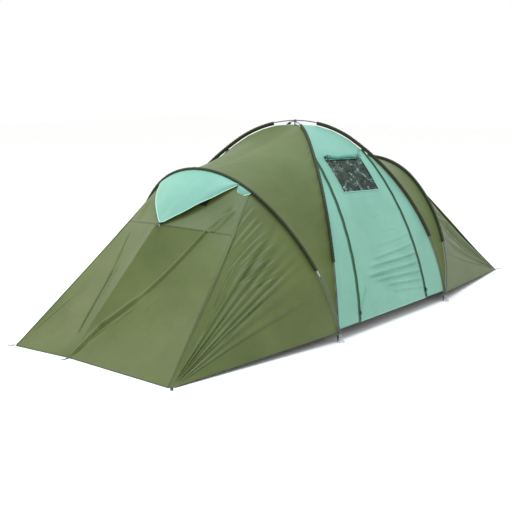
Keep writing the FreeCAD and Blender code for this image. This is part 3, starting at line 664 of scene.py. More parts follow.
# %% Gussets between the zips and the poles
def gusset(facing, side):
    def place(u, v):
        d = mix(ZIP_START, HEM, v)
        return wall(facing, side * mix(zip_x(d) + 0.001, seam_x(d), u), d)

    creases = spokes(11 + facing + 3 * side, 7, 0.1, 0.9, 0.10, 0.004)

    def relief(u, v):
        slack = -0.006 * edge_fade(u, 0.5) * edge_fade(v, 0.3)
        return slack + fan(creases, u, v) * edge_fade(u, 0.15) * smooth(v / 0.3)

    name = FACINGS[facing] + "_" + END_NAMES[side]
    piece = grid(name + "_gusset", 40, 130, place, relief)
    return cloth_sheet(piece, "tent", (FACINGS[facing] + "_gussets",),
                       material=mint)


# %% Doors with their windows
WINDOW_TILT = 0.038
FILM_OVERLAP = 0.012
SIDE_SHARE, TOP_SHARE, LOW_SHARE = 0.27, 0.10, 0.30


def window_line(d, x):
    """The window hangs a little unevenly: its left end is higher up the wall."""
    return d - WINDOW_TILT * (WINDOW_HALF - x) / (2 * WINDOW_HALF)


def door_place(facing, u, v, lift=0.0):
    """A place on the door; the grid's lines follow the window, so that the opening is cut along them."""
    if u < SIDE_SHARE:
        inner, outer, share = -WINDOW_HALF, -1, 1 - u / SIDE_SHARE
    elif u > 1 - SIDE_SHARE:
        inner, outer, share = WINDOW_HALF, 1, (u - 1 + SIDE_SHARE) / SIDE_SHARE
    else:
        inner, outer, share = mix(-WINDOW_HALF, WINDOW_HALF, (u - SIDE_SHARE) / (1 - 2 * SIDE_SHARE)), 0, 0.0
    near_x = max(-WINDOW_HALF, min(WINDOW_HALF, inner))
    top, low = window_line(WINDOW_TOP_D, near_x), window_line(WINDOW_LOW_D, near_x)
    if v < TOP_SHARE:
        d = mix(DOOR_HINGE, top, v / TOP_SHARE)
    elif v < LOW_SHARE:
        d = mix(top, low, (v - TOP_SHARE) / (LOW_SHARE - TOP_SHARE))
    else:
        d = mix(low, HEM, (v - LOW_SHARE) / (1 - LOW_SHARE))
    x = mix(inner, outer * (zip_x(d) - 0.001), share)
    return wall(facing, x, d, lift)


DOOR_TURN = 0.05


def door_joint(facing):
    """The wall's body, the door's body, and two places a few centimetres apart under the door's top seam."""
    return ("tent", FACINGS[facing] + "_door", wall(facing, 0, DOOR_HINGE), wall(facing, 0, DOOR_HINGE + DOOR_TURN))


def door(facing):
    name = FACINGS[facing]
    body = door_joint(facing)
    size = (1.25, 1.85)
    folds = [((1.02, 0.60), (0.35, 0.64), 0.011, 0.005), ((1.02, 0.66), (0.30, 0.70), 0.013, 0.010),
             ((1.03, 0.72), (0.22, 0.735), 0.015, 0.015), ((1.02, 0.775), (0.15, 0.78), 0.016, 0.017),
             ((1.02, 0.83), (0.25, 0.81), 0.015, 0.015), ((1.02, 0.88), (0.40, 0.85), 0.014, 0.013),
             ((1.02, 0.93), (0.45, 0.89), 0.012, 0.009), ((-0.02, 0.99), (0.16, 0.83), 0.010, 0.012),
             ((-0.02, 1.02), (0.40, 0.90), 0.016, 0.007), ((0.75, 0.55), (0.55, 0.56), 0.010, 0.003),
             ((0.62, 0.45), (0.48, 0.47), 0.010, 0.003), ((0.30, 0.34), (0.70, 0.33), 0.010, 0.004)]

    def relief(u, v):
        sides = edge_fade(u, 0.06)
        down = max(0.0, (v - LOW_SHARE) / (1 - LOW_SHARE))
        slack = -0.014 * edge_fade(u, 0.5) * math.sin(math.pi * down)
        waves = sum(crease(u, v, a, b, width, height, size) for a, b, width, height in folds)
        return sides * (slack + waves * smooth((1.01 - v) / 0.06)) + 0.0015 * sides * ripple((u, v * 2, 0), 0.12, 5)

    def window(u, v):
        return SIDE_SHARE < u < 1 - SIDE_SHARE and TOP_SHARE < v < LOW_SHARE

    piece = grid(name + "_door_cloth", 200, 150, lambda u, v: door_place(facing, u, v), relief, cut=window)
    cloth_sheet(piece, body, (name + "_door_panel",), material=mint)
    edge_tube(name + "_door_hem", [door_place(facing, i / 60, 1.0) for i in range(61)], name + "_door",
              0.0035, trim)
    window_parts(facing)


# %% Window film, its frame and the rolled blind
def window_parts(facing):
    name = FACINGS[facing]
    body = name + "_door"
    out = wall_outward(facing)

    def film_place(u, v):
        reach = WINDOW_HALF + FILM_OVERLAP
        x = mix(-reach, reach, u)
        d = mix(window_line(WINDOW_TOP_D, x) - FILM_OVERLAP, window_line(WINDOW_LOW_D, x) + FILM_OVERLAP, v)
        return wall(facing, x, d, -0.004)

    dice = random.Random(71 + facing)
    wrinkles = [((0.10, 0.08), (0.42, 0.16), 0.006, 0.006), ((0.35, 0.42), (0.98, 0.36), 0.006, 0.008),
                ((0.08, 0.50), (0.38, 0.46), 0.005, 0.004)]
    for _ in range(26):
        x, y = dice.uniform(0.25, 0.97), dice.uniform(0.40, 0.97)
        turn, run = dice.uniform(-0.5, 0.9), dice.uniform(0.05, 0.16)
        tip = (x + run * math.cos(turn), y + run * math.sin(turn))
        wrinkles.append(((x, y), tip, 0.004, dice.uniform(0.003, 0.006)))

    def crinkle(u, v):
        lines = sum(crease(u, v, a, b, width, height, (0.65, 0.4)) for a, b, width, height in wrinkles)
        return (lines + 0.004 * ripple((u, v * 0.6, facing), 0.10, 12)) * edge_fade(u, 0.06) * edge_fade(v, 0.06)

    piece = grid(name + "_window_sheet", 110, 75, film_place, crinkle)
    cloth_sheet(piece, body, (name + "_window_film",), material=film,
                thickness=0.0006)
    corners = [(SIDE_SHARE, TOP_SHARE), (1 - SIDE_SHARE, TOP_SHARE), (1 - SIDE_SHARE, LOW_SHARE),
               (SIDE_SHARE, LOW_SHARE)]
    for index, (first, last) in enumerate(zip(corners, corners[1:] + corners[:1])):
        path = [door_place(facing, mix(first[0], last[0], i / 30), mix(first[1], last[1], i / 30), 0.0008)
                for i in range(31)]
        seam_band("%s_window_frame_%d" % (name, index), path, out, 0.012, mint_seam, body)
    blind(facing)


def blind(facing):
    """The window blind, rolled up and held over the window by two loops and their toggles."""
    name = FACINGS[facing]
    body = name + "_door"
    half = WINDOW_HALF - 0.012

    def centre(x):
        return wall(facing, x, window_line(WINDOW_TOP_D, x) - 0.012, 0.017) + Vector((0, 0, 0.004 * math.sin(x * 19)))

    def roll(u, v):
        turns = 2.6
        angle = 2 * math.pi * turns * u
        radius = mix(0.005, 0.0165, u) * (1 + 0.10 * ripple((v * 2, u, 0), 0.2, 2))
        pinch = 1 - 0.25 * sum(math.exp(-((v - w) / 0.03) ** 2) for w in (0.10, 0.90))
        return centre(mix(-half, half, v)) + Vector((0, math.cos(angle), math.sin(angle))) * radius * pinch

    piece = grid(name + "_blind_cloth", 60, 60, roll, outside=centre(0.0))
    cloth_sheet(piece, body, (name + "_rolled_blind",),
                material=blind_cloth, thickness=0.0007)
    for side in (-1, 1):
        middle = centre(side * half * 0.80)
        ring = [middle + Vector((0, math.cos(i * 0.35), math.sin(i * 0.35))) * 0.0175 for i in range(19)]
        edge_tube("%s_blind_tie_%s" % (name, END_NAMES[side]), ring, body, 0.0028, hem_binding)
    toggle = centre(-half) + Vector((0.01, facing * 0.016, 0.022))
    edge_tube(name + "_blind_toggle", [toggle + Vector((0.0015 * i, 0, -0.004 * i)) for i in range(12)],
              body, 0.006, nylon)
    loop_top = centre(half * 0.86) + Vector((0, facing * 0.012, 0.016))
    loop = [loop_top + Vector((0.017 * math.sin(i * 0.3), 0, 0.028 * (1 - math.cos(i * 0.3)))) for i in range(21)]
    edge_tube(name + "_blind_loop", loop, body, 0.0022, hem_binding)


# %% Zips
def zip_parts(facing, side):
    """Two halves of tape, one on the door and one on the gusset, with the coil between them."""
    name = FACINGS[facing] + "_" + END_NAMES[side]
    door_body = door_joint(facing)
    out = wall_outward(facing)
    steps = 110

    def line(offset, lift):
        places = []
        for index in range(steps + 1):
            d = mix(ZIP_START, HEM, index / steps)
            wander = 0.0016 * math.sin(d * 31 + side)
            places.append(wall(facing, side * (zip_x(d) + offset + wander), d, lift))
        return places

    seam_band(name + "_zip_gusset_half", line(0.0105, 0.0022), out, 0.020, zip_band)
    seam_band(name + "_zip_door_half", line(-0.0107, 0.0022), out, 0.020, zip_band, door_body)
    coil = line(-0.0003, 0.0046)
    for index, place in enumerate(coil):
        coil[index] = place + Vector((0.0009 * (index % 2), 0, 0))
    edge_tube(name + "_zip_coil", coil, "tent", 0.0030, zinc)


blind_cloth = coated_cloth("blue_green_blind_cloth", "#3E8A78", "#4A9885", 0.5, "#DDF2EA", 0.5)
for facing in (-1, 1):
    top_panel(facing)
    door(facing)
    for side in (-1, 1):
        gusset(facing, side)
        zip_parts(facing, side)
    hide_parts(FACINGS[facing] + "_gusset_zip_tapes")
    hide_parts(FACINGS[facing] + "_door_zip_tapes")

# %% [markdown]
# ## Roof and cabins
# Past the dome poles the cloth spans to the hoops as a saddle, and beyond each hoop it is drawn to three
# pegs. The long sides are cones with their tip at a peg, which is why all their creases meet there.

# %% Places on the hoops and the brow
END_SPLIT = 0.56
CORNER_TAB = 0.04
PEG_OFFSET, PEG_INSET = 0.286, 0.05
BROW_REACH, BROW_DROP = 0.600, 0.450
BROW_HALF, BROW_CORNER_REACH, BROW_CORNER_DROP = 0.650, 0.300, 0.528


def hoop_seam(end, d, inset=CLOTH_INSET):
    return hoops[end].at(d, inset)


def mirror_y(place):
    return Vector((place.x, -place.y, place.z))


def hoop_split(end):
    """How far down the hoop the cabin's side panels begin."""
    return last_before(lambda d: -hoop_seam(end, d).y < END_SPLIT, 1.5, 40)


hoop_splits = {end: hoop_split(end) for end in (-1, 1)}


def brow(end, u):
    """The brow's line: u is -1 at its back end, 0 at the peak and 1 at its front end."""
    top = hoops[end].at(0.0)
    peak = Vector((top.x + end * BROW_REACH, 0, top.z - BROW_DROP))
    corner = Vector((top.x + end * BROW_CORNER_REACH, -BROW_HALF * (1 if u > 0 else -1), top.z - BROW_CORNER_DROP))
    return peak.lerp(corner, abs(u))


# %% [markdown]
# The cloth of a roof, a cabin side and a sloping end each sags a little between its seams. Each has its own
# short list of folds, written as lines on its pattern.

# %% Roof panels
def roof(end):
    hoop_foot = hoops[end].at_height(CORNER_HEIGHT, CLOTH_INSET)
    dome_foot = wall_bend.at_height(CORNER_HEIGHT, CLOTH_INSET)

    def dome_side(t):
        d = mix(PATCH_REACH, dome_foot, abs(t))
        place = seam(wall_bend, d)
        share = smooth(abs(t) / 0.02)
        return Vector((end * place.x, place.y * share * (1 if t > 0 else -1), place.z))

    def place(u, v):
        t = 2 * u - 1
        return hoop_seam(end, t * hoop_foot).lerp(dome_side(t), v)

    def relief(u, v):
        t = 2 * u - 1
        span = 1 - abs(t) ** 3
        saddle = -0.055 * span * 4 * v * (1 - v)
        pucker = 0.0
        for side in (-1, 1):
            for start, stop in puckers:
                pucker += crease(side * t, v, start, stop, 0.010, 0.004, (2.6, 1.2))
        gather = 0.0016 * math.sin(t * 95 + 4 * ripple((t, 0, 0), 0.3, 1)) * smooth((v - 0.86) / 0.12)
        return (saddle + 0.004 * span * edge_fade(v, 0.3) * ripple((t * 2, v * 1.4, end), 0.5, 9) + pucker +
                gather * edge_fade((t + 1) / 2, 0.05))

    puckers = [((0.16 + 0.035 * i, 0.99), (0.19 + 0.035 * i, 0.90)) for i in range(4)]
    puckers += [((0.20, 0.62), (0.27, 0.55)), ((0.06, 0.25), (0.10, 0.45)), ((0.03, 0.10), (0.05, 0.30))]
    piece = grid(END_NAMES[end] + "_roof_cloth", 240, 90, place, relief, outside=(end * 0.7, 0, 0.4))
    for side in (0.0, 1.0):
        edge_tube(END_NAMES[end] + "_roof_hem_" + ("back" if side == 0.0 else "front"),
                  [place(side, i / 12) for i in range(13)])
    replaced = (END_NAMES[end] + "_roof_front", END_NAMES[end] + "_roof_back")
    return cloth_sheet(piece, "tent", replaced, material=olive)


# %% Long cabin sides
def cabin_side(end, facing):
    split = hoop_splits[end]
    foot = hoops[end].at_height(CORNER_HEIGHT, CLOTH_INSET)
    tip_side = Vector((end * (HALF_LENGTH - CORNER_TAB), -HALF_END, GROUND_GAP))
    tip_end = Vector((end * HALF_LENGTH, -HALF_END + CORNER_TAB, GROUND_GAP))
    on_hoop = 0.80

    def place(u, v):
        if u < on_hoop:
            top = hoop_seam(end, mix(foot, split, u / on_hoop)) + Vector((end * SEAM_GAP, 0, 0))
        else:
            start = hoop_seam(end, split) + Vector((end * SEAM_GAP, 0, 0))
            top = start.lerp(brow(end, 1), (u - on_hoop) / (1 - on_hoop))
        spot = top.lerp(tip_side.lerp(tip_end, u), v)
        return spot if facing < 0 else mirror_y(spot)

    dice = random.Random(131 + 7 * end + facing)
    size = (1.45, 1.75)
    ridges = []
    for where in (0.27, 0.345, 0.41, 0.455, 0.50, 0.545, 0.62):
        where += dice.uniform(-0.015, 0.015)
        ridges.append(((where + dice.uniform(-0.02, 0.02), dice.uniform(0.04, 0.16)), (where, 1.0),
                       dice.uniform(0.020, 0.034), dice.uniform(0.012, 0.024) * (0.6 if where < 0.3 else 1.0)))
    fine = []
    for index in range(10):
        start = 0.74 - 0.035 * index + dice.uniform(-0.01, 0.01)
        top = 0.03 + 0.012 * index + dice.uniform(0.0, 0.05)
        reach = dice.uniform(0.16, 0.36)
        fine.append(((start, top), (start + 0.27 * reach, top + reach), dice.uniform(0.008, 0.014),
                     dice.uniform(0.004, 0.008)))
    for index in range(9):
        where = dice.uniform(0.18, 0.70)
        top = dice.uniform(0.25, 0.55)
        fine.append(((where, top), (where - 0.01, top + dice.uniform(0.2, 0.4)), 0.010, dice.uniform(0.003, 0.006)))

    def relief(u, v):
        slack = -0.05 * math.sin(math.pi * v) * math.sin(math.pi * min(1.0, u * 1.05))
        pleats = 0.0
        for start, stop, width, height in ridges:
            narrow = max(0.12, 1.0 - v)
            if v < start[1] - 0.2:
                continue
            here = start[0] + (stop[0] - start[0]) * v
            off = (u - here) * size[0] / width
            fade = smooth((v - start[1] + 0.1) / 0.35) * smooth((1.0 - v) / 0.12)
            crest = math.exp(-off * off) - 0.75 * math.exp(-(off + 1.35) ** 2 / 0.7)
            pleats += height * fade * crest * (0.35 + 0.65 * narrow)
        for start, stop, width, height in fine:
            pleats += crease(u, v, start, stop, width, height, size)
        envelope = edge_fade(u, 0.04) * smooth(v / 0.05)
        rough = 0.0025 * ripple((u * 2.5, v * 0.8, end + 3 * facing), 0.16, 6) * edge_fade(v, 0.2)
        return slack + envelope * (pleats + rough)

    name = END_NAMES[end] + "_cabin_side_" + FACINGS[facing]
    piece = grid(name + "_cloth", 200, 160, place, relief, outside=(end * 1.8, 0, 0.0))
    cloth_sheet(piece, "tent", (name,), material=olive)
    foot_line = [place(0.0, i / 40) for i in range(41)]
    edge_tube(name + "_hem", foot_line)
    edge = [place(1.0, i / 40) for i in range(41)]
    seam_band(name + "_seam", edge, Vector((end * 0.6, facing * 0.6, 0.5)), 0.012)
    joint = [place(0.8 + 0.2 * i / 12, 0.0) for i in range(13)]
    seam_band(name + "_top_seam", joint, Vector((end * 0.5, 0.4 * facing, 0.8)), 0.012)


# %% Sloping ends
def end_wall(end):
    ridge_foot = Vector((end * (HALF_LENGTH - PEG_INSET), PEG_OFFSET, GROUND_GAP))
    corner = Vector((end * HALF_LENGTH, -HALF_END + CORNER_TAB, GROUND_GAP))

    def foot(t):
        if t > 0:
            return ridge_foot.lerp(corner, t)
        return ridge_foot.lerp(mirror_y(corner), -t)

    def place(u, v):
        t = 1 - 2 * u
        return brow(end, t).lerp(foot(t), v)

    size = (1.7, 1.75)
    folds = [((0.50, 1.0), (0.44, 0.69), 0.012, 0.015), ((0.455, 0.76), (0.36, 0.50), 0.014, 0.016),
             ((0.375, 0.56), (0.13, -0.12), 0.013, 0.013), ((0.49, 0.95), (0.42, 0.74), 0.008, 0.006),
             ((0.40, 0.72), (0.35, 0.58), 0.008, 0.005), ((0.56, 0.86), (0.74, 0.30), 0.009, 0.010),
             ((0.70, 0.42), (0.86, 0.06), 0.009, 0.008), ((0.60, 0.58), (0.70, 0.28), 0.007, 0.005),
             ((0.97, 0.90), (0.90, 0.55), 0.008, 0.004), ((0.30, 0.60), (0.25, 0.45), 0.008, 0.002)]

    def relief(u, v):
        envelope = edge_fade(u, 0.03) * smooth((1.03 - v) / 0.08)
        half = 2 * u if u < 0.5 else 2 - 2 * u
        slack = -0.05 * math.sin(math.pi * v) * math.sin(math.pi * half)
        lines = sum(crease(u, v, a, b, width, height, size) for a, b, width, height in folds)
        rough = 0.003 * ripple((u * 2, v, end), 0.22, 8) * edge_fade(v, 0.15)
        return slack + envelope * (lines + rough)

    name = END_NAMES[end] + "_end_wall"
    piece = grid(name + "_cloth", 200, 170, place, relief, outside=(end * 1.8, 0, 0.0))
    cloth_sheet(piece, "tent", (name,), material=olive)
    edge_tube(name + "_hem", [place(i / 80, 1.0) for i in range(81)])
    seam_band(name + "_brow_seam", [place(0.01 + 0.98 * i / 80, 0.0) for i in range(81)],
              Vector((end * 0.8, 0, 0.6)), 0.014)


# %% Upper panels under the hoods, with their vents
VENT_HALF, VENT_NEAR, VENT_FAR = 0.46, 0.22, 0.55


def brow_place(end, u, v, lowered=0.0):
    """A place on the upper panel, u across it from front to back and v from the hoop to the brow."""
    t = 1 - 2 * u
    top = hoop_seam(end, t * hoop_splits[end]) + Vector((end * SEAM_GAP, 0, SEAM_GAP - lowered))
    return top.lerp(brow(end, t) - Vector((0, 0, lowered)), v)


def brow_panel(end):
    folds = [((0.06, 0.45), (0.14, 1.05), 0.022, 0.016), ((0.10, 0.55), (0.17, 0.95), 0.010, 0.005),
             ((0.03, 0.60), (0.08, 0.95), 0.010, 0.004), ((0.94, 0.45), (0.86, 1.0), 0.020, 0.010)]

    def relief(u, v):
        lines = sum(crease(u, v, a, b, width, height, (1.3, 0.7)) for a, b, width, height in folds)
        return -0.02 * math.sin(math.pi * v) * edge_fade(u, 0.3) + lines * edge_fade(u, 0.03)

    def opening(u, v):
        return abs(2 * u - 1) < VENT_HALF and VENT_NEAR < v < VENT_FAR

    piece = grid(END_NAMES[end] + "_brow_cloth", 100, 60, lambda u, v: brow_place(end, u, v), relief,
                 outside=(end * 1.4, 0, 0.0), cut=opening)
    return cloth_sheet(piece, "tent", (END_NAMES[end] + "_brow_panel",),
                       material=olive)


def vent_net(end):
    def place(u, v):
        return brow_place(end, 0.5 + (u - 0.5) * (VENT_HALF + 0.03), mix(VENT_NEAR - 0.03, VENT_FAR + 0.03, v), 0.008)

    def relief(u, v):
        return -0.02 * math.sin(math.pi * mix(VENT_NEAR, VENT_FAR, v))

    piece = grid(END_NAMES[end] + "_vent_net", 60, 20, place, relief, outside=(end * 1.4, 0, 0.0))
    return cloth_sheet(piece, "tent", (END_NAMES[end] + "_vent_mesh",),
                       material=net)


for end in (-1, 1):
    roof(end)
    brow_panel(end)
    vent_net(end)
    end_wall(end)
    for facing in (-1, 1):
        cabin_side(end, facing)

# %% [markdown]
# ## Vent hoods
# A hood is one beak of mint cloth sewn along the hoop and drawn to a point over the brow. Its free edge
# is bound in pale tape.

# %% Hoods and their binding
HOOD_HALF, HOOD_REACH, HOOD_DROP = 0.585, 0.600, 0.446
ROOT_INSET, ROOT_OUT = 0.013, 0.011
NEAR_LOBE_START, FAR_LOBE_START = 0.77, 0.955
BINDING_RADIUS = 0.0045


def hood_shape(end):
    """The hood's surface over u across and v outwards: a beak between two small lobes at its ends."""
    bend = hoops[end]
    low = last_before(lambda d: -bend.at(d).y < HOOD_HALF, 1.5, 40)
    top = bend.at(0.0)
    tip = Vector((top.x + end * HOOD_REACH, -0.045, top.z - HOOD_DROP))

    def root(t):
        return bend.at(t * low, ROOT_INSET) + Vector((end * ROOT_OUT, 0, 0))

    def rim(t):
        near = t > 0
        lobe_start = NEAR_LOBE_START if near else FAR_LOBE_START
        if abs(t) >= lobe_start:
            share = (abs(t) - lobe_start) / (1 - lobe_start)
            depth = 0.078 if near else 0.012
            hang = 0.004 + depth * math.sin(math.pi * share ** 0.60) ** 0.85
            return root(t) + Vector((end * 0.55, 0, -0.83)) * hang
        far = 1 - abs(t) / lobe_start
        start = root(math.copysign(lobe_start, t))
        bow = math.sin(math.pi * far)
        rounded = 0.016 * max(0.0, 1 - abs(t) / 0.06) ** 2
        wavy = 0.003 * math.sin(t * 21)
        out, up = (0.008, 0.006) if near else (0.060, 0.030)
        return start.lerp(tip, far) + Vector((end * out * bow, 0, up * bow + wavy * bow + rounded))

    def surface(u, v):
        t = 1 - 2 * u
        return root(t).lerp(rim(t), v)

    return surface, tip


def hood(end):
    surface, tip = hood_shape(end)
    root = hoops[end].at(0.0, ROOT_INSET) + Vector((end * ROOT_OUT, 0, 0))
    outward = Vector((end * math.cos(HOOP_LEAN), 0, -math.sin(HOOP_LEAN)))
    body = ("tent", END_NAMES[end] + "_hood", root, root + outward * 0.15)
    name = END_NAMES[end] + "_hood"

    def relief(u, v):
        half = 2 * u if u < 0.5 else 2 - 2 * u
        belly = 0.018 * math.sin(math.pi * half) * math.sin(math.pi * v)
        return belly + 0.003 * ripple((u * 1.2, v * 0.5, end), 0.2, 3) * edge_fade(v, 0.2)

    piece = grid(name + "_cloth", 200, 60, surface, relief, outside=(end * 1.4, 0, 0.8))
    cloth_sheet(piece, body, (END_NAMES[end] + "_vent_hood",),
                material=mint)
    rim = [surface(i / 160, 1.0) + Vector((0, 0, -0.001)) for i in range(161)]
    edge_tube(name + "_binding", rim, body, BINDING_RADIUS, trim)
    toggle = tip + Vector((end * -0.012, -0.004, -0.004))
    ahead = Vector((end * 0.75, 0.35, -0.45)).normalized()
    bar = [toggle + ahead * (0.048 * i / 12) for i in range(13)]
    edge_tube(name + "_toggle_bar", bar, END_NAMES[end] + "_hood", 0.0055, nylon)
    loop = [toggle + ahead * 0.024 + Vector((0, 0.012 * math.sin(i * 0.52), 0.012 * math.cos(i * 0.52)))
            for i in range(12)]
    edge_tube(name + "_toggle_cord", loop, END_NAMES[end] + "_hood", 0.0018, elastic)
    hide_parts(END_NAMES[end] + "_hood_toggle")


for end in (-1, 1):
    hood(end)

# %% [markdown]
# ## Sleeves
# Each pole runs in a tunnel of dark cloth sewn over the seam. The tunnel is round where it wraps the pole
# and flat where it is stitched, and it puckers because the thread pulls it shorter than the pole's bend.

# %% Pole sleeves
SLEEVE_RADIUS = 0.0125
WEB_DEPTH = 0.0245


def sleeve(name, bend, start, end_at, replaced):
    length = abs(end_at - start)
    rows = int(length / 0.010)
    turn = math.radians(145)

    def place(u, v):
        d = mix(start, end_at, v)
        pucker = (0.0011 * math.sin(d * 190 + 3 * ripple((d, 0, 0), 0.1, 2)) +
                  0.0012 * ripple((u * 2, d * 6, 0), 0.25, 4))
        radius = SLEEVE_RADIUS + pucker
        sideways = bend.along(d).cross(bend.out(d))
        if u < 0.2:
            start_at = (math.sin(-turn) * radius, math.cos(turn) * radius)
            s, o = mix(-0.001, start_at[0], u / 0.2), mix(-WEB_DEPTH, start_at[1], u / 0.2)
        elif u > 0.8:
            stop_at = (math.sin(turn) * radius, math.cos(turn) * radius)
            s, o = mix(stop_at[0], 0.001, (u - 0.8) / 0.2), mix(stop_at[1], -WEB_DEPTH, (u - 0.8) / 0.2)
        else:
            angle = mix(-turn, turn, (u - 0.2) / 0.6)
            s, o = math.sin(angle) * radius, math.cos(angle) * radius
        return bend.at(d) + sideways * s + bend.out(d) * o

    piece = grid(name, 20, rows, place, outside=bend.base + Vector((0, 0, 0.6)))
    cloth_sheet(piece, "tent", replaced, material=sleeve_cloth, thickness=0.0007)
    return piece


for name, bend in (("dome_sleeve_a", dome_a), ("dome_sleeve_b", dome_b)):
    low = bend.at_height(0.72)
    sleeve(name + "_front", bend, CROWN_OPENING, low, ("dome_sleeves",))
    sleeve(name + "_back", bend, -CROWN_OPENING, -low, ("dome_sleeves",))
for end, level in ((-1, 0.69), (1, 0.62)):
    low = hoops[end].at_height(level)
    sleeve(END_NAMES[end] + "_hoop_sleeve", hoops[end], -low, low, ("hoop_sleeves",))

# %% [markdown]
# ## Inside and underneath
# The floors are stiff woven polyethylene, welded up at the corners into shallow trays. The inner curtains
# hang from the hoops with a doorway in each. They are flat cuts of cloth, so each is one grid: a tray is
# the grid with its margins turned up, and a curtain is the grid pressed into soft upright folds.

# %% Floor trays
TRAY_TURN = 0.012


def floor_tray(name, lip, columns, rows):
    (x_low, y_low, z_low), (x_high, y_high, _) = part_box(name)
    margin = 0.004
    x_low, y_low, x_high, y_high = x_low + margin, y_low + margin, x_high - margin, y_high - margin

    def place(u, v):
        x = mix(x_low - lip, x_high + lip, u)
        y = mix(y_low - lip, y_high + lip, v)
        over = max(x_low - x, x - x_high, y_low - y, y - y_high, 0.0)
        lean = TRAY_TURN * over / max(lip, 0.001)
        inside_x = min(max(x, x_low + lean), x_high - lean)
        inside_y = min(max(y, y_low + lean), y_high - lean)
        rumple = 0.0012 * (1 + ripple((x, y, 0), 0.16, 21)) if over == 0.0 else 0.0
        return Vector((inside_x, inside_y, z_low + 0.0016 + over * 0.97 + rumple))

    middle = ((x_low + x_high) / 2, 0, 2.0)
    piece = grid(name + "_sheet", columns, rows, place, outside=middle)
    edit(piece, bpy.ops.mesh.flip_normals)
    cloth_sheet(piece, "tent", (name,), material=ground_sheet,
                thickness=0.0008)


floor_tray("living_floor", 0.0, 45, 55)
for end in (-1, 1):
    floor_tray(END_NAMES[end] + "_cabin_floor", 0.088, 66, 66)

# %% Inner curtains
DOORWAY_HALF, DOORWAY_SILL, DOORWAY_HEAD = 0.42, 0.067, 0.13
SHOULDER_DROP = 0.14


def inner_curtain(end):
    name = END_NAMES[end] + "_inner_curtain"
    (x_low, y_low, z_low), (x_high, y_high, z_high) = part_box(name)
    side, head, sill = 0.25, 0.15, 0.93

    def place(u, v):
        if u < side:
            y = mix(y_low, -DOORWAY_HALF, u / side)
        elif u > 1 - side:
            y = mix(DOORWAY_HALF, y_high, (u - 1 + side) / side)
        else:
            y = mix(-DOORWAY_HALF, DOORWAY_HALF, (u - side) / (1 - 2 * side))
        if v < head:
            z = mix(z_high, z_high - DOORWAY_HEAD, v / head)
        elif v < sill:
            z = mix(z_high - DOORWAY_HEAD, z_low + DOORWAY_SILL, (v - head) / (sill - head))
        else:
            z = mix(z_low + DOORWAY_SILL, z_low, (v - sill) / (1 - sill))
        shoulder = max(0.0, abs(y) / y_high - 0.62) / 0.38
        z -= SHOULDER_DROP * shoulder ** 2 * (z - z_low) / (z_high - z_low)
        return Vector(((x_low + x_high) / 2, y, z))

    def relief(u, v):
        upright = 0.005 * math.sin(u * 46 + 2 * math.sin(u * 9)) * (0.3 + 0.7 * v)
        return upright + 0.003 * ripple((u, v * 2, end), 0.2, 31)

    def doorway(u, v):
        return side < u < 1 - side and head < v < sill

    piece = grid(name + "_cloth", 80, 100, place, relief, outside=(0, 0, 0.6), cut=doorway)
    cloth_sheet(piece, "tent", (name,), material=inner_cloth)
    rim = [(-DOORWAY_HALF, z_low + DOORWAY_SILL), (-DOORWAY_HALF, z_high - DOORWAY_HEAD),
           (DOORWAY_HALF, z_high - DOORWAY_HEAD), (DOORWAY_HALF, z_low + DOORWAY_SILL),
           (-DOORWAY_HALF, z_low + DOORWAY_SILL)]
    path = []
    for (y_a, z_a), (y_b, z_b) in zip(rim, rim[1:]):
        path += [Vector(((x_low + x_high) / 2, mix(y_a, y_b, i / 24), mix(z_a, z_b, i / 24))) for i in range(24)]
    path.append(path[0].copy())
    edge_tube(name + "_doorway_binding", path, "tent", 0.007, hem_binding)


for end in (-1, 1):
    inner_curtain(end)

# %% [markdown]
# ## Crown patch and webbing
# Where four seams meet under the crossing, a square patch takes the pull. Straps and peg loops are woven
# polypropylene tape, flat across and thick at the edges, so each is a crowned strip along its run.

# %% Crown patch
def crown_patch():
    points = [vertex.co.copy() for vertex in bpy.data.objects["crown_patch"].data.vertices]
    reach_x, reach_y = max(p.x for p in points), max(p.y for p in points)
    edge_z = max(p.z for p in points if p.x > 0.9 * reach_x and p.y > 0.9 * reach_y)
    middle_z = max(p.z for p in points if abs(p.x) < 0.002 and abs(p.y) < 0.002)

    def place(u, v):
        a, b = 2 * u - 1, 2 * v - 1
        return Vector((a * reach_x, b * reach_y, mix(middle_z, edge_z, max(abs(a), abs(b))) + 0.0004))

    def relief(u, v):
        return 0.0006 * ripple((u, v, 0), 0.3, 41) * edge_fade(u, 0.2) * edge_fade(v, 0.2)

    piece = grid("crown_patch_cloth", 40, 40, place, relief, outside=(0, 0, 0.5))
    cloth_sheet(piece, "tent", ("crown_patch",), material=sleeve_cloth)


crown_patch()


# %% Corner straps and peg loops
def node_points(name, x_side, y_test):
    points = [vertex.co.copy() for vertex in bpy.data.objects[name].data.vertices]
    return [p for p in points if p.x * x_side > 0 and y_test(p.y)]


def centre_of(points):
    return sum(points, Vector()) / len(points)


def corner_strap(end, side):
    points = sorted(node_points("corner_straps", end, lambda y: y * side > 0), key=lambda p: p.z)
    low, top = centre_of(points[:4]), centre_of(points[-4:])
    path = [top.lerp(low, i / 24) + Vector((0, side * 0.0012 * math.sin(math.pi * i / 24), 0)) for i in range(25)]
    name = "corner_strap_%s_%s" % (END_NAMES[end], FACINGS[side])
    return seam_band(name, path, Vector((0, side, 0.05)), 0.020, webbing)


def peg_loop(number, end, y_test, away):
    points = node_points("peg_loops", end, y_test)
    middle = centre_of(points)
    half = 0.0225
    path = [middle + away * (half * (i / 8 - 1)) for i in range(17)]
    for place in path:
        place.z = 0.0005
    return seam_band("peg_loop_%d" % number, path, Vector((0, 0, 1)), 0.025, webbing)


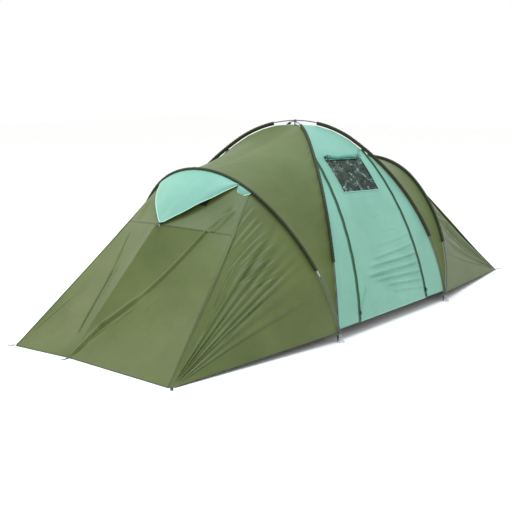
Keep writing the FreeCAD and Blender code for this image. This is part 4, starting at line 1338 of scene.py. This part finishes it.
slant = math.sqrt(0.5)
number = 0
for end in (-1, 1):
    for side in (-1, 1):
        strap = corner_strap(end, side)
        loop_here = peg_loop(number, end, lambda y, side=side: y * side > 0.7, Vector((end * slant, side * slant, 0)))
        number += 1
    peg_loop(number, end, lambda y: abs(y) < 0.7, Vector((end, 0, 0)))
    number += 1
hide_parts("corner_straps")
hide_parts("peg_loops")

# %% [markdown]
# ## Setting
# The tent stands on a plain pale floor under soft studio light. The strongest light is broad, cool and
# overhead, and a warmer one stands behind the left end. The camera looks from the front left, about two and
# a half metres up.

# %% Floor, lights and camera
bpy.ops.mesh.primitive_plane_add(size=60, location=(0, 0, -0.001))
floor = bpy.context.object
floor.name = "studio_floor"
floor.data.materials.append(plain_finish("matt_paint", "#FCFCFB", "#FFFFFE", 0.8, 0.0, 3.0, 0.02))

world = bpy.data.worlds.new("studio")
bpy.context.scene.world = world
world.use_nodes = True
world.node_tree.nodes["Background"].inputs["Color"].default_value = paint("#FFFFFF")
world.node_tree.nodes["Background"].inputs["Strength"].default_value = 1.0


def area_light(name, place, target, size, power, colour):
    bpy.ops.object.light_add(type="AREA", location=place)
    light = bpy.context.object
    light.name = name
    light.data.size = size
    light.data.energy = power
    light.data.color = paint(colour)[:3]
    light.rotation_euler = (Vector(target) - Vector(place)).to_track_quat("-Z", "Y").to_euler()


area_light("key", (-4.5, 8.5, 6.5), (-1.0, 0, 0.6), 3.0, 270, "#FFF3DA")
area_light("sky", (-1.5, -0.5, 9.0), (-0.3, 0, 0.0), 4.0, 560, "#D6E6FF")

VIEW_AZIMUTH, VIEW_ELEVATION, VIEW_DISTANCE = math.radians(-51.5), math.radians(10.96), 9.952
VIEW_TARGET = Vector((-0.6685, 0.0, 0.6023))
VIEW_LENS, SENSOR_WIDTH = 67.88, 36
back = Vector((math.sin(VIEW_AZIMUTH) * math.cos(VIEW_ELEVATION), -math.cos(VIEW_AZIMUTH) * math.cos(VIEW_ELEVATION),
               math.sin(VIEW_ELEVATION)))
bpy.ops.object.camera_add(location=VIEW_TARGET + back * VIEW_DISTANCE)
camera = bpy.context.object
camera.rotation_euler = (-back).to_track_quat("-Z", "Y").to_euler()
camera.data.lens = VIEW_LENS
camera.data.sensor_width = SENSOR_WIDTH
bpy.context.scene.camera = camera
bpy.context.scene.view_settings.view_transform = "Standard"
